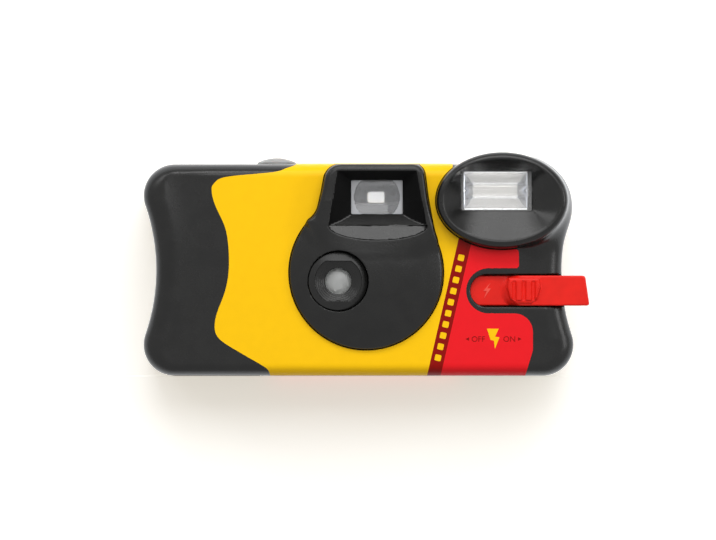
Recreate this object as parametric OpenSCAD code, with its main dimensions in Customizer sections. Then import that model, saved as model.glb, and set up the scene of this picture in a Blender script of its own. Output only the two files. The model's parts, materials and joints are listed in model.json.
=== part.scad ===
// Single-use 35 mm film camera with a built-in flash.
// Millimetres. X runs to the viewer's right, Y from the lens to the back, Z up.
// The origin is the middle of the flat base, half way through the depth of the body.

/* [Body] */
// Width over the two rounded ends
body_w = 117; // [116:0.5:124]
// Height from the base to the flat top
body_h = 57.6; // [57:0.2:62]
// Depth from the flat front to the flat back
body_d = 32.4; // [32.4:0.2:36]
// Wall of the two covers
wall = 1.6; // [1.4:0.1:1.8]
// Radius of the corners, seen from the front
corner_r = 8.5; // [7.5:0.5:9]
// Radius of the corner behind the flash hood
hood_corner_r = 13; // [12:0.5:14]
// How far the corner behind the flash hood stands in from the full width
hood_corner_in = 1.2; // [0.8:0.1:2]
// Depth of the waist in each end
waist_depth = 3.4; // [2.8:0.1:3.8]
// Rounding of the front and back edges, seen from the end
edge_r = 3.2; // [2.8:0.1:3.6]
// Rounding of the front and back edges at the two ends, seen from above
side_r = 6.5; // [5:0.5:7]
// Depth over which the front and back edges round off
edge_d = 4.5; // [4:0.1:5]
// Where the front and rear covers part
parting_y = 5; // [4.6:0.1:6]

/* [Front dome] */
// Middle of the dome, across
dome_x = 2.1; // [1:0.1:3]
// Middle of the dome, up
dome_z = 28.1; // [27:0.1:29]
// Radius of the dome
dome_r = 20.9; // [20:0.1:21.5]
// Step at the rim of the dome
dome_step = 1.2; // [1:0.1:1.6]
// Height of the dome above its rim
dome_rise = 4.7; // [4.4:0.1:5.2]
// Front of the viewfinder tower, ahead of the flat front
tower_out = 5; // [4.6:0.1:5.4]

/* [Lens and shutter] */
// Lens axis, across
lens_x = -5.6; // [-6.4:0.1:-5]
// Lens axis, up
lens_z = 25.5; // [25:0.1:26]
// Clear radius of the lens in the cover
lens_r = 3.6; // [3.2:0.1:4]
// Radius of the ring round the lens
ring_r = 8.2; // [7.8:0.1:8.6]
// Radius of the lens well
well_r = 6.45; // [6:0.05:6.8]
// Half the height between the flats of the lens well
well_flat = 5.35; // [5:0.05:5.8]
// Radius of the stop behind the shutter
stop_r = 2; // [1.5:0.1:2.4]

/* [Viewfinder] */
// Middle of the viewfinder, across
vf_x = 5; // [4:0.1:6]
// Middle of the viewfinder below the top
vf_drop = 9; // [8.8:0.1:9.4]
// Width of the front viewfinder window
vf_w = 14; // [13:0.1:14.4]
// Height of the front viewfinder window
vf_h = 9.2; // [8.6:0.1:9.4]
// Width of the eyepiece
eye_w = 9; // [8:0.1:10]
// Height of the eyepiece
eye_h = 6; // [5:0.1:6.4]

/* [Flash] */
// Middle of the flash hood, across
hood_x = 39; // [38.5:0.1:39.5]
// Middle of the flash hood below the top
hood_drop = 9.8; // [9.4:0.1:10]
// Half the width of the flash hood
hood_a = 17.9; // [17.5:0.1:18.2]
// Half the height of the flash hood
hood_b = 13; // [12.6:0.1:13.2]
// Front of the flash hood, ahead of the flat front
hood_out = 5; // [4.4:0.1:5.4]
// Rim of the flash hood
hood_rim = 1.6; // [1.2:0.1:1.8]
// Middle of the flash window, across
flash_x = 37.5; // [37:0.1:38]
// Middle of the flash window below the top
flash_drop = 7.2; // [7.1:0.1:7.4]
// Width of the flash window
flash_w = 17.7; // [17:0.1:18.2]
// Height of the flash window
flash_h = 10.3; // [9.6:0.1:10.5]
// Depth of the flash reflector
reflector_d = 9.5; // [8.5:0.1:9.7]
// Diameter of the flash capacitor
capacitor_dia = 11; // [10:0.1:11.2]
// Length of the flash capacitor
capacitor_h = 26; // [20:0.5:27]

/* [Flash switch] */
// Middle of the switch, up
switch_z = 23.2; // [22.8:0.1:23.6]
// Height of the switch bar
switch_h = 8.2; // [7.8:0.1:8.6]
// Left end of the switch window
switch_window_x = 30.4; // [30:0.1:31]
// Travel from on to off
switch_travel = 7.6; // [6.5:0.1:7.8]
// Reach of the switch bar beyond the full width, when on
switch_reach = 3.2; // [2.6:0.1:3.6]

/* [Film] */
// Radius of the film cassette
cassette_r = 12.5; // [12.2:0.1:12.6]
// Height of the film cassette
cassette_h = 43.2; // [43:0.1:43.6]
// Width of the film
film_w = 35; // [34.6:0.1:35]
// Width of a frame
gate_w = 36; // [34:0.5:36.5]
// Height of a frame
gate_h = 24; // [22:0.5:24.5]
// Radius of the roll of unused film
roll_r = 8; // [7:0.1:8.2]
// Room between the film and the back cover
film_gap = 1.5; // [1.3:0.1:1.8]

/* [Winding and release] */
// How far the thumbwheel stands out of the back
wheel_out = 1; // [0.8:0.1:1.2]
// Thickness of the thumbwheel
wheel_h = 3.8; // [3.4:0.1:4]
// Ribs round the thumbwheel
wheel_ribs = 48; // [40:1:56]
// Radius of the shutter button
button_r = 5.35; // [5:0.05:5.6]
// Height of the shutter button above the top
button_rise = 1.7; // [1.4:0.1:2]
// Travel of the shutter button
button_travel = 1.2; // [0.8:0.1:1.3]
// Radius of the frame counter disc
counter_r = 7.2; // [6.8:0.1:7.3]

/* [Battery] */
// Diameter of the cell
cell_dia = 14.5; // [14:0.1:14.5]
// Length of the cell with its button
cell_l = 50.5; // [49:0.1:50.5]

/* [Fits] */
// Gap round pieces that slide or swing past each other
slide_gap = 0.3; // [0.25:0.05:0.4]
// Gap round a shaft in its bore
run_gap = 0.05; // [0.03:0.01:0.08]
// Gap round pieces that are set into a seat
seat_gap = 0.1; // [0.05:0.05:0.15]
// Thickness of the label
label_t = 0.2; // [0.15:0.05:0.25]

/* [Hidden] */
$fn = 48;
// A little more than a cut needs to pass through a face
over = 0.5;
// Black plastic of the covers and white plastic of the small levers
cover_colour = [0.15, 0.15, 0.15];
lever_colour = [0.9, 0.9, 0.88];

// Faces of the body and of the room inside it
half_w = body_w / 2;
front_y = -body_d / 2;
rear_y = body_d / 2;
in_front = front_y + wall;
in_rear = rear_y - wall;
in_top = body_h - wall;
// Steps along each corner, each waist and each rounded edge
corner_steps = 8;
waist_steps = 12;
edge_step = 15;
// Radius of the waist arcs, which run smoothly into the corners
waist_rise = body_h / 2 - corner_r;
waist_in = corner_r - waist_depth;
waist_r = (pow(waist_rise, 2) + pow(waist_in, 2) - pow(corner_r, 2)) / (2 * (corner_r - waist_in));

// Middles of the corner arcs and of the waist arcs
corner_bl = [-(half_w - corner_r), corner_r];
corner_br = [half_w - corner_r, corner_r];
corner_tl = [-(half_w - corner_r), body_h - corner_r];
corner_tr = [half_w - hood_corner_in - hood_corner_r, body_h - hood_corner_r];
waist_left = tangent_middle(corner_bl, corner_r, corner_tl, corner_r, waist_r, -1);
waist_right = tangent_middle(corner_br, corner_r, corner_tr, hood_corner_r, waist_r, 1);
waist_x = waist_right[0] - waist_r;

// Film path: cassette at the left, gate behind the lens, unused roll at the right
film_t = 0.15;
film_y = in_rear - film_gap;
cassette_gap = 0.5;
cassette_y = in_rear - cassette_gap - cassette_r;
wheel_r = rear_y + wheel_out - cassette_y;
wheel_side_gap = 1.9;
cassette_x = -(half_w - wall - wheel_side_gap - wheel_r);
knob_l = 3;
knob_gap = 0.4;
cassette_z0 = wall + knob_gap + knob_l;
cassette_z1 = cassette_z0 + cassette_h;
cap_t = 1;
cap_gap = 0.4;
neck_r = 4.3;
fork_l = 4;
film_z = (cassette_z0 + cassette_z1) / 2;
film_z0 = film_z - film_w / 2;
film_z1 = film_z + film_w / 2;
lip_reach = 14.2;
chamber_t = 1;
chamber_gap = 0.3;

// Decks of the main frame, above and below the film
deck_t = 1.2;
deck_gap = 0.9;
deck_z0 = film_z1 + deck_gap;
deck_z1 = deck_z0 + deck_t;
floor_z1 = film_z0 - deck_gap;
floor_z0 = floor_z1 - deck_t;
plate_y1 = film_y - film_t / 2 - seat_gap * 2;
plate_t = 1.5;
plate_y0 = plate_y1 - plate_t;
front_plate_y1 = in_front + 2.9;
front_plate_t = 1.2;
front_plate_y0 = front_plate_y1 - front_plate_t;

// Battery, lying under the lens
cell_y = in_front + 0.5 + cell_dia / 2;
cell_z = wall + 0.5 + cell_dia / 2;
contact_t = 0.4;
cell_wall_x = cassette_x + cassette_r + chamber_gap + seat_gap;
cell_wall_t = 1;
cell_x0 = cell_wall_x + cell_wall_t + contact_t + seat_gap;
cell_x1 = cell_x0 + cell_l;
cell_end_x = cell_x1 + seat_gap + contact_t;
cell_back_y = cell_y + cell_dia / 2 + 0.5;
nub_l = 1;
nub_r = 2.75;

// Roll of unused film
roll_gap = 0.4;
ring_t = 0.9;
supply_x = cell_end_x + cell_wall_t + slide_gap + roll_r + roll_gap + ring_t;
supply_y = film_y - film_t / 2 - 0.2 - roll_r;
supply_ring_r = roll_r + roll_gap + ring_t;
core_r = 3;
journal_r = 1.8;

// Thumbwheel and the metering train on the upper deck
wheel_z0 = cassette_z1 + 0.6;
wheel_z1 = wheel_z0 + wheel_h;
wheel_axle_r = 2;
shaft_r = 1.5;
shaft_x = cassette_x + wheel_r + 0.8 + shaft_r;
sprocket_teeth = 8;
sprocket_r = 5.9;
sprocket_y = film_y - film_t / 2 - 0.2 - sprocket_r;
perforation_z = 3;
perforation_pitch = 4.75;
sprocket_t = 1.6;
cam_r = 3.6;
drive_tooth_r = 2.6;
counter_x = shaft_x + 8.5;
counter_gap = 0.25;
counter_y = sprocket_y - sqrt(pow(counter_r + drive_tooth_r + counter_gap, 2) - pow(8.5, 2));
striker_x = shaft_x + 5.5;
striker_y = sprocket_y - 9.5;
meter_x = shaft_x + 8;
meter_y = sprocket_y - 1;
pin_r = 1;
lever_r = 2.2;
latch_r = 2.6;
layer_gap = 0.4;
striker_z0 = deck_z1 + layer_gap;
striker_t = 1.3;
meter_z0 = striker_z0 + striker_t + slide_gap;
meter_t = 0.7;
meter_z1 = meter_z0 + meter_t;
bracket_z0 = meter_z1 + slide_gap + button_travel;
bracket_t = 1;
counter_z0 = bracket_z0 + 0.2;
counter_t = 1.2;

// Shutter button, just clear of the thumbwheel
button_x = cassette_x + wheel_r + 1.5;
button_y = cassette_y - 7.4;
stem_r = 1.2;
flange_r = button_r + 0.85;
flange_t = 1.4;
flange_z1 = in_top - slide_gap;
flange_z0 = flange_z1 - flange_t;
bracket_l = 1.8;
bracket_r = 2.6;
bracket_y0 = button_y - 3.8;
bracket_y1 = button_y + 1.8;
post_t = 1.2;

// Lens stack
blade_t = 0.5;
blade_y1 = front_plate_y0 - slide_gap;
blade_y0 = blade_y1 - blade_t;
retainer_t = 1.2;
retainer_y1 = blade_y0 - slide_gap - 0.2;
retainer_y0 = retainer_y1 - retainer_t;
retainer_r = 7.2;
dome_top_y = front_y - dome_step - dome_rise;
dome_sphere_r = (pow(dome_r, 2) + pow(dome_rise, 2)) / (2 * dome_rise);
dome_steps = 8;
dome_room_r = 16;
dome_room_y = front_y - dome_step;
ring_floor_y = dome_top_y + 2.2;
well_floor_y = ring_floor_y + 2.2;
well_floor_t = 0.8;
tube_y0 = well_floor_y + well_floor_t + seat_gap;
tube_r = lens_r + 1.6;
lens_t = 2;
blade_pivot = [lens_x - 6.9, lens_z + 12.5];
blade_tab = [striker_x + 1.8, striker_z0 + 0.7];
blade_pin_r = 0.8;
blade_hub_r = 2;
tab_r = 0.6;

// Viewfinder and flash
vf_z = body_h - vf_drop;
vf_lens_t = 1.5;
vf_lens_y0 = front_y + 0.5;
vf_rim = 0.5;
eye_z = vf_z + 0.9;
eye_t = 0.9;
eye_rim = 0.5;
tower_y = front_y - tower_out;
tower_top_l = 10.8;
tower_top_r = 11.4;
hood_z = body_h - hood_drop;
hood_y = front_y - hood_out;
flash_z = body_h - flash_drop;
flash_t = 1.4;
flash_y0 = front_y - 0.8;
flash_y1 = flash_y0 + flash_t;
flash_rim = 0.7;
tube_glass_r = 1.5;
tube_glass_y = flash_y1 + 0.65 * reflector_d;
reflector_t = 0.4;
capacitor_r = capacitor_dia / 2;
capacitor_x = cell_x1 - 4.2;
capacitor_y = cell_y + 0.95;
capacitor_z0 = cell_z + cell_dia / 2 + 0.9;

// Circuit board, standing in front of the roll of unused film
board_t = 1.2;
board_y1 = supply_y - supply_ring_r - slide_gap;
board_y0 = board_y1 - board_t;
board_x0 = cell_end_x + cell_wall_t + 1.3;
board_x1 = waist_x - wall - 1;
board_z0 = wall + 3.4;
board_z1 = flash_z - flash_h / 2 - 1.7;

// Switch bar: a low tail under the cover and a high part that fills the window's round end when off
tail_y1 = in_front + 1.6;
tail_y0 = in_front - 0.2;
bar_y0 = front_y - 0.4;
tail_x0 = switch_window_x - 0.9;
high_x0 = switch_window_x + switch_travel + slide_gap;
bar_x1 = half_w + switch_reach;
bar_slant = 1.4;
pad_x0 = high_x0 + 2.4;
pad_w = 8.4;
pad_out = 1.1;
contact_post_x = switch_window_x + 1.6;
contact_post_w = 2;
contact_post_half = 0.9;
backing_t = 1.2;
backing_y1 = tail_y1 + seat_gap + backing_t;
contact_post_y = backing_y1 + 0.6;

// Door under the cassette, with its hinge along the front edge
door_half = cassette_r + 0.3;
door_gap = 0.2;
hinge_r = 0.75;
hinge_y = cassette_y - door_half - 0.7;
hinge_z = hinge_r + 0.2;
door_y1 = cassette_y + cassette_r;
door_tab_w = 3;
door_tab_drop = 0.2;

// Label outline on the front: the left edge, bottom to top, and the right side
label_left_edge = [
    [-23.8, -1], [-24.5, 2.5], [-30, 6], [-36.5, 9], [-39.2, 12.5], [-38.5, 17], [-36, 24], [-35.2, 31],
    [-36, 39.5], [-39, 46.5], [-39.8, 51], [-36, 54], [-23.5, 55.4], [-17, 58.6]
];
label_top_x0 = button_x + button_r + 0.5;
label_top_x1 = 25.6;
label_right_x = 43.6;
label_low_x = 47.4;
label_cut = 0.4;
counter_window_x = counter_x + 1;
counter_window_y = counter_y - 4.4;
counter_window_w = 5;
counter_window_d = 4;
lamp_x = capacitor_x;
lamp_y = cell_back_y - 0.6;
lamp_r = 2.2;
pipe_r = 1.5;

// Points along an arc
function arc(c, r, a0, a1, n) =
    [for (i = [0:n]) let (a = a0 + (a1 - a0) * i / n) [c[0] + r * cos(a), c[1] + r * sin(a)]];

// Angle of the line from one point to another
function aim(from, to) = atan2(to[1] - from[1], to[0] - from[0]);

// Middle of the arc of radius r that touches two circles from outside
function tangent_middle(c1, r1, c2, r2, r, side) =
    let (
        d = norm(c2 - c1),
        d1 = r1 + r,
        d2 = r2 + r,
        a = (d1 * d1 - d2 * d2 + d * d) / (2 * d),
        h = sqrt(d1 * d1 - a * a),
        u = (c2 - c1) / d
    ) c1 + a * u + side * h * [u[1], -u[0]];

// Outline of the body from the front, set in by a distance
function outline(inset) = concat(
    arc(corner_bl, corner_r - inset, aim(corner_bl, waist_left), 270, corner_steps),
    arc(corner_br, corner_r - inset, 270, 360 + aim(corner_br, waist_right), corner_steps),
    arc(
        waist_right, waist_r + inset,
        360 + aim(waist_right, corner_br), aim(waist_right, corner_tr), waist_steps
    ),
    arc(corner_tr, hood_corner_r - inset, aim(corner_tr, waist_right), 90, corner_steps),
    arc(corner_tl, corner_r - inset, 90, 360 + aim(corner_tl, waist_left), corner_steps),
    arc(waist_left, waist_r + inset, aim(waist_left, corner_tl), aim(waist_left, corner_bl), waist_steps)
);

// One ring of the body's skin: the outline at a depth, drawn in further at the two ends
function ring(inset, side_inset, y) =
    let (k = (half_w - side_inset) / (half_w - inset)) [for (p = outline(inset)) [p[0] * k, y, p[1]]];

// Rings of the body from the back plane at y to the rounded front or back face
function edge_ring(o, a) =
    let (drawn_in = 1 - cos(a), set_back = 1 - sin(a))
    ring(o + (edge_r - o) * drawn_in, o + (side_r - o) * drawn_in, front_y + o + (edge_d - o) * set_back);
function front_rings(o, y) = concat([ring(o, o, y)], [for (a = [0:edge_step:90]) edge_ring(o, a)]);
function mirror_y(r) = [for (p = r) [p[0], -p[1], p[2]]];
function rear_rings(o, y) =
    concat([for (a = [90:-edge_step:0]) mirror_y(edge_ring(o, a))], [ring(o, o, y)]);

// Ring of an ellipse in the plane of the front, at a depth
function ellipse_ring(cx, cz, a, b, y) =
    [for (i = [0:47]) let (t = i * 7.5) [cx + a * cos(t), y, cz + b * sin(t)]];

// Middle of a ring
function ring_middle(r) =
    [for (k = [0:2]) let (values = [for (p = r) p[k]]) (min(values) + max(values)) / 2];

// Smooth curve through points
function curve(points, n) =
    let (m = len(points) - 1)
    [for (i = [0:m - 1]) each let (
        p0 = points[max(i - 1, 0)],
        p1 = points[i],
        p2 = points[i + 1],
        p3 = points[min(i + 2, m)]
    ) [for (j = [0:n - 1]) let (t = j / n)
        (2 * p1 + t * (p2 - p0) + t * t * (2 * p0 - 5 * p1 + 4 * p2 - p3)
        + t * t * t * (3 * p1 - p0 - 3 * p2 + p3)) / 2], points[m]];

// Closed skin over rings that run from the back to the front
module skin(rings) {
    n = len(rings[0]);
    m = len(rings);
    points = concat([for (r = rings) each r], [ring_middle(rings[0])], [ring_middle(rings[m - 1])]);
    sides = [for (k = [0:m - 2]) for (i = [0:n - 1])
        let (j = (i + 1) % n, a = k * n + i, b = k * n + j) each [[a, a + n, b], [b, a + n, b + n]]];
    back = [for (i = [0:n - 1]) [n * m, i, (i + 1) % n]];
    front = [for (i = [0:n - 1]) [n * m + 1, (m - 1) * n + (i + 1) % n, (m - 1) * n + i]];
    polyhedron(points = points, faces = concat(sides, back, front));
}

// Box between two corners
module span(a, b) {
    translate(a) cube(b - a);
}

// Cylinder along Y from y0 to y1
module rod_y(x, z, r, y0, y1) {
    translate([x, y1, z]) rotate([90, 0, 0]) cylinder(r = r, h = y1 - y0);
}

// Cylinder along X from x0 to x1
module rod_x(y, z, r, x0, x1) {
    translate([x0, y, z]) rotate([0, 90, 0]) cylinder(r = r, h = x1 - x0);
}

// Cylinder along Z from z0 to z1
module rod_z(x, y, r, z0, z1) {
    translate([x, y, z0]) cylinder(r = r, h = z1 - z0);
}

// Flat shape in X and Z, made solid from y0 to y1
module slab_y(y0, y1) {
    translate([0, y1, 0]) rotate([90, 0, 0]) linear_extrude(y1 - y0) children();
}

// Flat shape in Y and Z, made solid from x0 to x1
module slab_x(x0, x1) {
    translate([x0, 0, 0]) rotate([90, 0, 90]) linear_extrude(x1 - x0) children();
}

// Window block: a box given by its middle, size and depth range
module window_y(x, z, w, h, y0, y1) {
    span([x - w / 2, y0, z - h / 2], [x + w / 2, y1, z + h / 2]);
}

// The same block with a rim added all round
module framed_y(x, z, w, h, rim, y0, y1) {
    window_y(x, z, w + 2 * rim, h + 2 * rim, y0, y1);
}

// Lever arm in plan: a bar from one round end to another
module arm(from, to, r0, r1) {
    hull() {
        translate(from) circle(r = r0, $fn = 24);
        translate(to) circle(r = r1, $fn = 24);
    }
}

// Outline of the viewfinder tower, which runs out into the dome at its foot
module tower_shape() {
    foot_z = dome_z + 8;
    polygon(concat(
        curve([[dome_x - 15.6, dome_z + 13.9], [vf_x - 16.6, vf_z - 4.8], [vf_x - 15, vf_z + 1.5]], 4),
        arc([vf_x - tower_top_l + 1, body_h - 4.6], 4.6, 170, 90, 6),
        arc([vf_x + tower_top_r - 1.4, body_h - 3], 3, 90, 10, 4),
        curve([[vf_x + 13.8, vf_z], [vf_x + 14.7, vf_z - 5], [dome_x + 18.9, dome_z + 8.9]], 4),
        [[dome_x + 9, foot_z], [dome_x - 9, foot_z]]
    ));
}

// Tower with a front that leans back into the dome
module tower_solid() {
    lean_z = vf_z - 1;
    intersection() {
        slab_y(tower_y, in_front + over) tower_shape();
        slab_x(-half_w, half_w) polygon([
            [in_front + over, 0], [tower_y + 3.2, 0], [tower_y + 1.8, dome_z + 10], [tower_y, lean_z],
            [tower_y, body_h], [in_front + over, body_h]
        ]);
    }
}

// Dome: a straight rim and a round cap, as rings that close in on its top
module dome_solid() {
    rim_y = [in_front + over, front_y - dome_step];
    rims = [for (y = rim_y) ellipse_ring(dome_x, dome_z, dome_r, dome_r, y)];
    cap = [for (k = [dome_steps:-1:1])
        let (r = dome_r * k / (dome_steps + 1), sag = dome_sphere_r - sqrt(pow(dome_sphere_r, 2) - r * r))
        ellipse_ring(dome_x, dome_z, r, r, dome_top_y + sag)];
    skin(concat(rims, cap));
}

module hood_solid() {
    lift = hood_z + hood_b - body_h;
    skin([
        ellipse_ring(hood_x, hood_z - lift - 1, hood_a - 2.5, hood_b - 0.5, front_y + 11),
        ellipse_ring(hood_x, hood_z, hood_a, hood_b, front_y + 3),
        ellipse_ring(hood_x, hood_z, hood_a, hood_b, hood_y + 0.8),
        ellipse_ring(hood_x, hood_z, hood_a - 0.6, hood_b - 0.6, hood_y)
    ]);
}

// Funnel from the rim of the hood to the flash window
module hood_funnel() {
    hull() {
        skin([
            ellipse_ring(hood_x, hood_z, hood_a - hood_rim, hood_b - hood_rim, hood_y),
            ellipse_ring(hood_x, hood_z, hood_a - hood_rim, hood_b - hood_rim, hood_y - over)
        ]);
        window_y(flash_x, flash_z, flash_w, flash_h, flash_y0 - 0.1, flash_y0);
    }
}

module viewfinder_funnel() {
    top_z = body_h - 1.9;
    low_z = vf_z - vf_h / 2 - 2.7;
    scoop_y = tower_y + 2.3;
    scoop_drop = 4.6;
    mouth = [
        [vf_x - 13, low_z], [vf_x + 13.4, low_z], [vf_x + 10.8, top_z], [vf_x - 10.8, top_z]
    ];
    hull() {
        slab_y(tower_y - over, tower_y) polygon(mouth);
        window_y(vf_x, vf_z, vf_w, vf_h, vf_lens_y0 - 1, vf_lens_y0 - 0.9);
    }
    slab_x(vf_x - 12.4, vf_x + 12.8) polygon([
        [scoop_y, low_z], [dome_top_y - over, low_z - scoop_drop],
        [dome_top_y - over, low_z + 1], [scoop_y, low_z + 1]
    ]);
}

module lens_well() {
    rod_y(lens_x, lens_z, ring_r, dome_top_y - over, ring_floor_y);
    intersection() {
        rod_y(lens_x, lens_z, well_r, dome_top_y, well_floor_y);
        window_y(lens_x, lens_z, 3 * well_r, 2 * well_flat, dome_top_y, well_floor_y);
    }
    rod_y(lens_x, lens_z, lens_r, dome_top_y, in_front);
    rod_y(lens_x, lens_z, tube_r + slide_gap, well_floor_y + well_floor_t, in_front);
}

// Window, tail room and contact slot of the flash switch
module switch_channel() {
    z0 = switch_z - switch_h / 2 - slide_gap;
    z1 = switch_z + switch_h / 2 + slide_gap;
    end_r = (z1 - z0) / 2;
    tail_floor = tail_y1 + seat_gap;
    slab_y(front_y - over, tail_floor) {
        translate([switch_window_x + end_r, switch_z]) circle(r = end_r);
        translate([switch_window_x + end_r, z0]) square([half_w, z1 - z0]);
    }
    span([tail_x0 - switch_travel - slide_gap, tail_y0 - slide_gap, z0], [half_w, tail_floor, z1]);
    span(
        [contact_post_x - switch_travel - slide_gap, tail_y1, switch_z - contact_post_half - slide_gap],
        [
            contact_post_x + contact_post_w + slide_gap, backing_y1 + over,
            switch_z + contact_post_half + slide_gap
        ]
    );
}

module door_opening(gap) {
    span(
        [cassette_x - door_half + gap, hinge_y, -over],
        [cassette_x + door_half - gap, door_y1 - gap, wall + over]
    );
}

// Rounded ends of the body as one closed skin, set in by a distance
module body_skin(o) {
    skin(concat(rear_rings(o, parting_y), front_rings(o, parting_y - 0.01)));
}

module hinge_barrel(gap) {
    half = door_half - door_gap + gap;
    rod_x(hinge_y, hinge_z, hinge_r + gap, cassette_x - half, cassette_x + half);
}

// Block on the window of the frame counter, grown by a distance
module counter_block(grow, z0, z1) {
    half = [counter_window_w / 2 + grow, counter_window_d / 2 + grow];
    span(
        [counter_window_x - half[0], counter_window_y - half[1], z0],
        [counter_window_x + half[0], counter_window_y + half[1], z1]
    );
}

module front_cover() {
    tail_end = tail_x0 - switch_travel - slide_gap - backing_t;
    backing_half = switch_h / 2 + 1.7;
    boss_t = 1.4;
    boss_gap = 0.5;
    frame_rim = 2.5;
    seat_depth = in_front + 3;
    color(cover_colour) difference() {
        union() {
            difference() {
                union() {
                    skin(front_rings(0, parting_y));
                    dome_solid();
                    tower_solid();
                    hood_solid();
                }
                skin(front_rings(wall, parting_y + over));
                rod_y(dome_x, dome_z, dome_room_r, dome_room_y, in_front + over);
            }
            span(
                [tail_end, in_front - over, switch_z - backing_half],
                [waist_x - wall, backing_y1, switch_z + backing_half]
            );
            difference() {
                rod_z(cassette_x, cassette_y, wheel_axle_r + boss_t, wheel_z1 + boss_gap, in_top + over);
                rod_z(cassette_x, cassette_y, wheel_axle_r + run_gap, wheel_z1, in_top);
            }
            framed_y(vf_x, vf_z, vf_w, vf_h, frame_rim, front_y + over, vf_lens_y0 + vf_lens_t);
        }
        lens_well();
        viewfinder_funnel();
        window_y(vf_x, vf_z, vf_w, vf_h, front_y - 1, vf_lens_y0 + over);
        framed_y(vf_x, vf_z, vf_w, vf_h, vf_rim + seat_gap, vf_lens_y0, seat_depth);
        hood_funnel();
        window_y(flash_x, flash_z, flash_w, flash_h, flash_y0 - over, flash_y0 + over);
        framed_y(flash_x, flash_z, flash_w, flash_h, flash_rim + seat_gap, flash_y0, seat_depth);
        switch_channel();
        rod_z(button_x, button_y, button_r + slide_gap, in_top - over, body_h + over);
        counter_block(0, in_top - over, body_h + over);
        rod_z(lamp_x, lamp_y, pipe_r + seat_gap, in_top - over, body_h + over);
        door_opening(0);
        hinge_barrel(door_gap / 2);
        span(
            [cassette_x - door_half, hinge_y - hinge_r - door_gap, -over],
            [cassette_x + door_half, hinge_y + over, hinge_z]
        );
    }
}

module rear_cover() {
    slot_half = sqrt(pow(wheel_r, 2) - pow(in_rear - cassette_y, 2)) + 1.2;
    slot_gap = 0.5;
    rail_h = 1.4;
    rail_in = 0.5;
    rail_y = film_y + film_t / 2 + 0.2;
    hook_l = 4;
    hook_w = 6;
    hook_t = 1;
    hook_z = wall + seat_gap;
    color(cover_colour) difference() {
        union() {
            difference() {
                skin(rear_rings(0, parting_y));
                skin(rear_rings(wall, parting_y - over));
            }
            for (z = [film_z0 + rail_in, film_z1 - rail_h - rail_in])
                span([lens_x - gate_w / 2, rail_y, z], [supply_x - roll_r, in_rear + over, z + rail_h]);
            for (x = [lens_x - 8, supply_x + 2]) {
                span([x, parting_y - hook_l, hook_z], [x + hook_w, parting_y + over, hook_z + hook_t]);
                span([x, parting_y, wall - over], [x + hook_w, parting_y + 2, hook_z + hook_t]);
            }
        }
        span(
            [cassette_x - slot_half, in_rear - over, wheel_z0 - slot_gap],
            [cassette_x + slot_half, rear_y + over, wheel_z1 + slot_gap]
        );
        window_y(vf_x, eye_z, eye_w, eye_h, in_rear - over, rear_y + over);
        framed_y(vf_x, eye_z, eye_w, eye_h, eye_rim + seat_gap, in_rear - over, in_rear + eye_t + seat_gap);
        door_opening(0);
    }
}

module film_door() {
    neck_y = hinge_y + hinge_z + slide_gap;
    color(cover_colour) {
        difference() {
            intersection() {
                difference() {
                    body_skin(0);
                    body_skin(wall);
                }
                door_opening(door_gap);
            }
            span(
                [cassette_x - door_half, hinge_y - over, -over],
                [cassette_x + door_half, neck_y, hinge_z - hinge_r / 2]
            );
        }
        hinge_barrel(0);
        span(
            [cassette_x - door_tab_w / 2, door_y1 - 4, -door_tab_drop],
            [cassette_x + door_tab_w / 2, door_y1 - 2, wall / 2]
        );
    }
}

// Point of the body's section at an angle round the front edge, stood off by a distance
function section_point(a, t, up) =
    let (
        inset = edge_r * (1 - cos(a)),
        y = front_y + edge_d * (1 - sin(a)),
        n = [-sin(a) / edge_d, cos(a) / edge_r] / norm([sin(a) / edge_d, cos(a) / edge_r])
    ) [y + t * n[0], (up > 0 ? body_h - inset : inset) + up * t * n[1]];
function half_section(t) = concat(
    [for (a = [2 * edge_step:edge_step:90]) section_point(a, t, -1)],
    [for (a = [90:-edge_step:0]) section_point(a, t, 1)]
);
function flip_back(path) = [for (i = [len(path) - 1:-1:0]) [-path[i][0], path[i][1]]];
function full_section(t) = concat(half_section(t), flip_back(half_section(t)));
function reversed(path) = [for (i = [len(path) - 1:-1:0]) path[i]];

// Part of the front that the label covers
module label_front_shape() {
    cut_r = 6;
    z0 = switch_z - cut_r;
    z1 = switch_z + cut_r;
    low = arc([label_low_x - 5, z0 - 5], 5, 90, 0, 6);
    hood_cut = ellipse_ring(hood_x, hood_z, hood_a + label_cut, hood_b + label_cut, 0);
    difference() {
        polygon(concat(
            curve(label_left_edge, 4),
            [[label_top_x1, body_h + 1], [label_top_x1, hood_z], [hood_x - 6, hood_z - hood_b - 1.2]],
            [[label_right_x, hood_z - hood_b - 1.6], [label_right_x, z1]],
            [[switch_window_x + cut_r, z1], [switch_window_x + cut_r, z0]],
            low,
            [[label_low_x, 7], [label_low_x - 2.4, -1]]
        ));
        translate([dome_x, dome_z]) circle(r = dome_r + label_cut, $fn = 64);
        offset(delta = label_cut) tower_shape();
        translate([vf_x - tower_top_l, body_h - edge_r]) square([tower_top_l + tower_top_r, 2 * edge_r]);
        polygon([for (p = hood_cut) [p[0], p[2]]]);
        translate([switch_window_x + cut_r - 0.6, switch_z]) circle(r = cut_r);
    }
}

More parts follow.
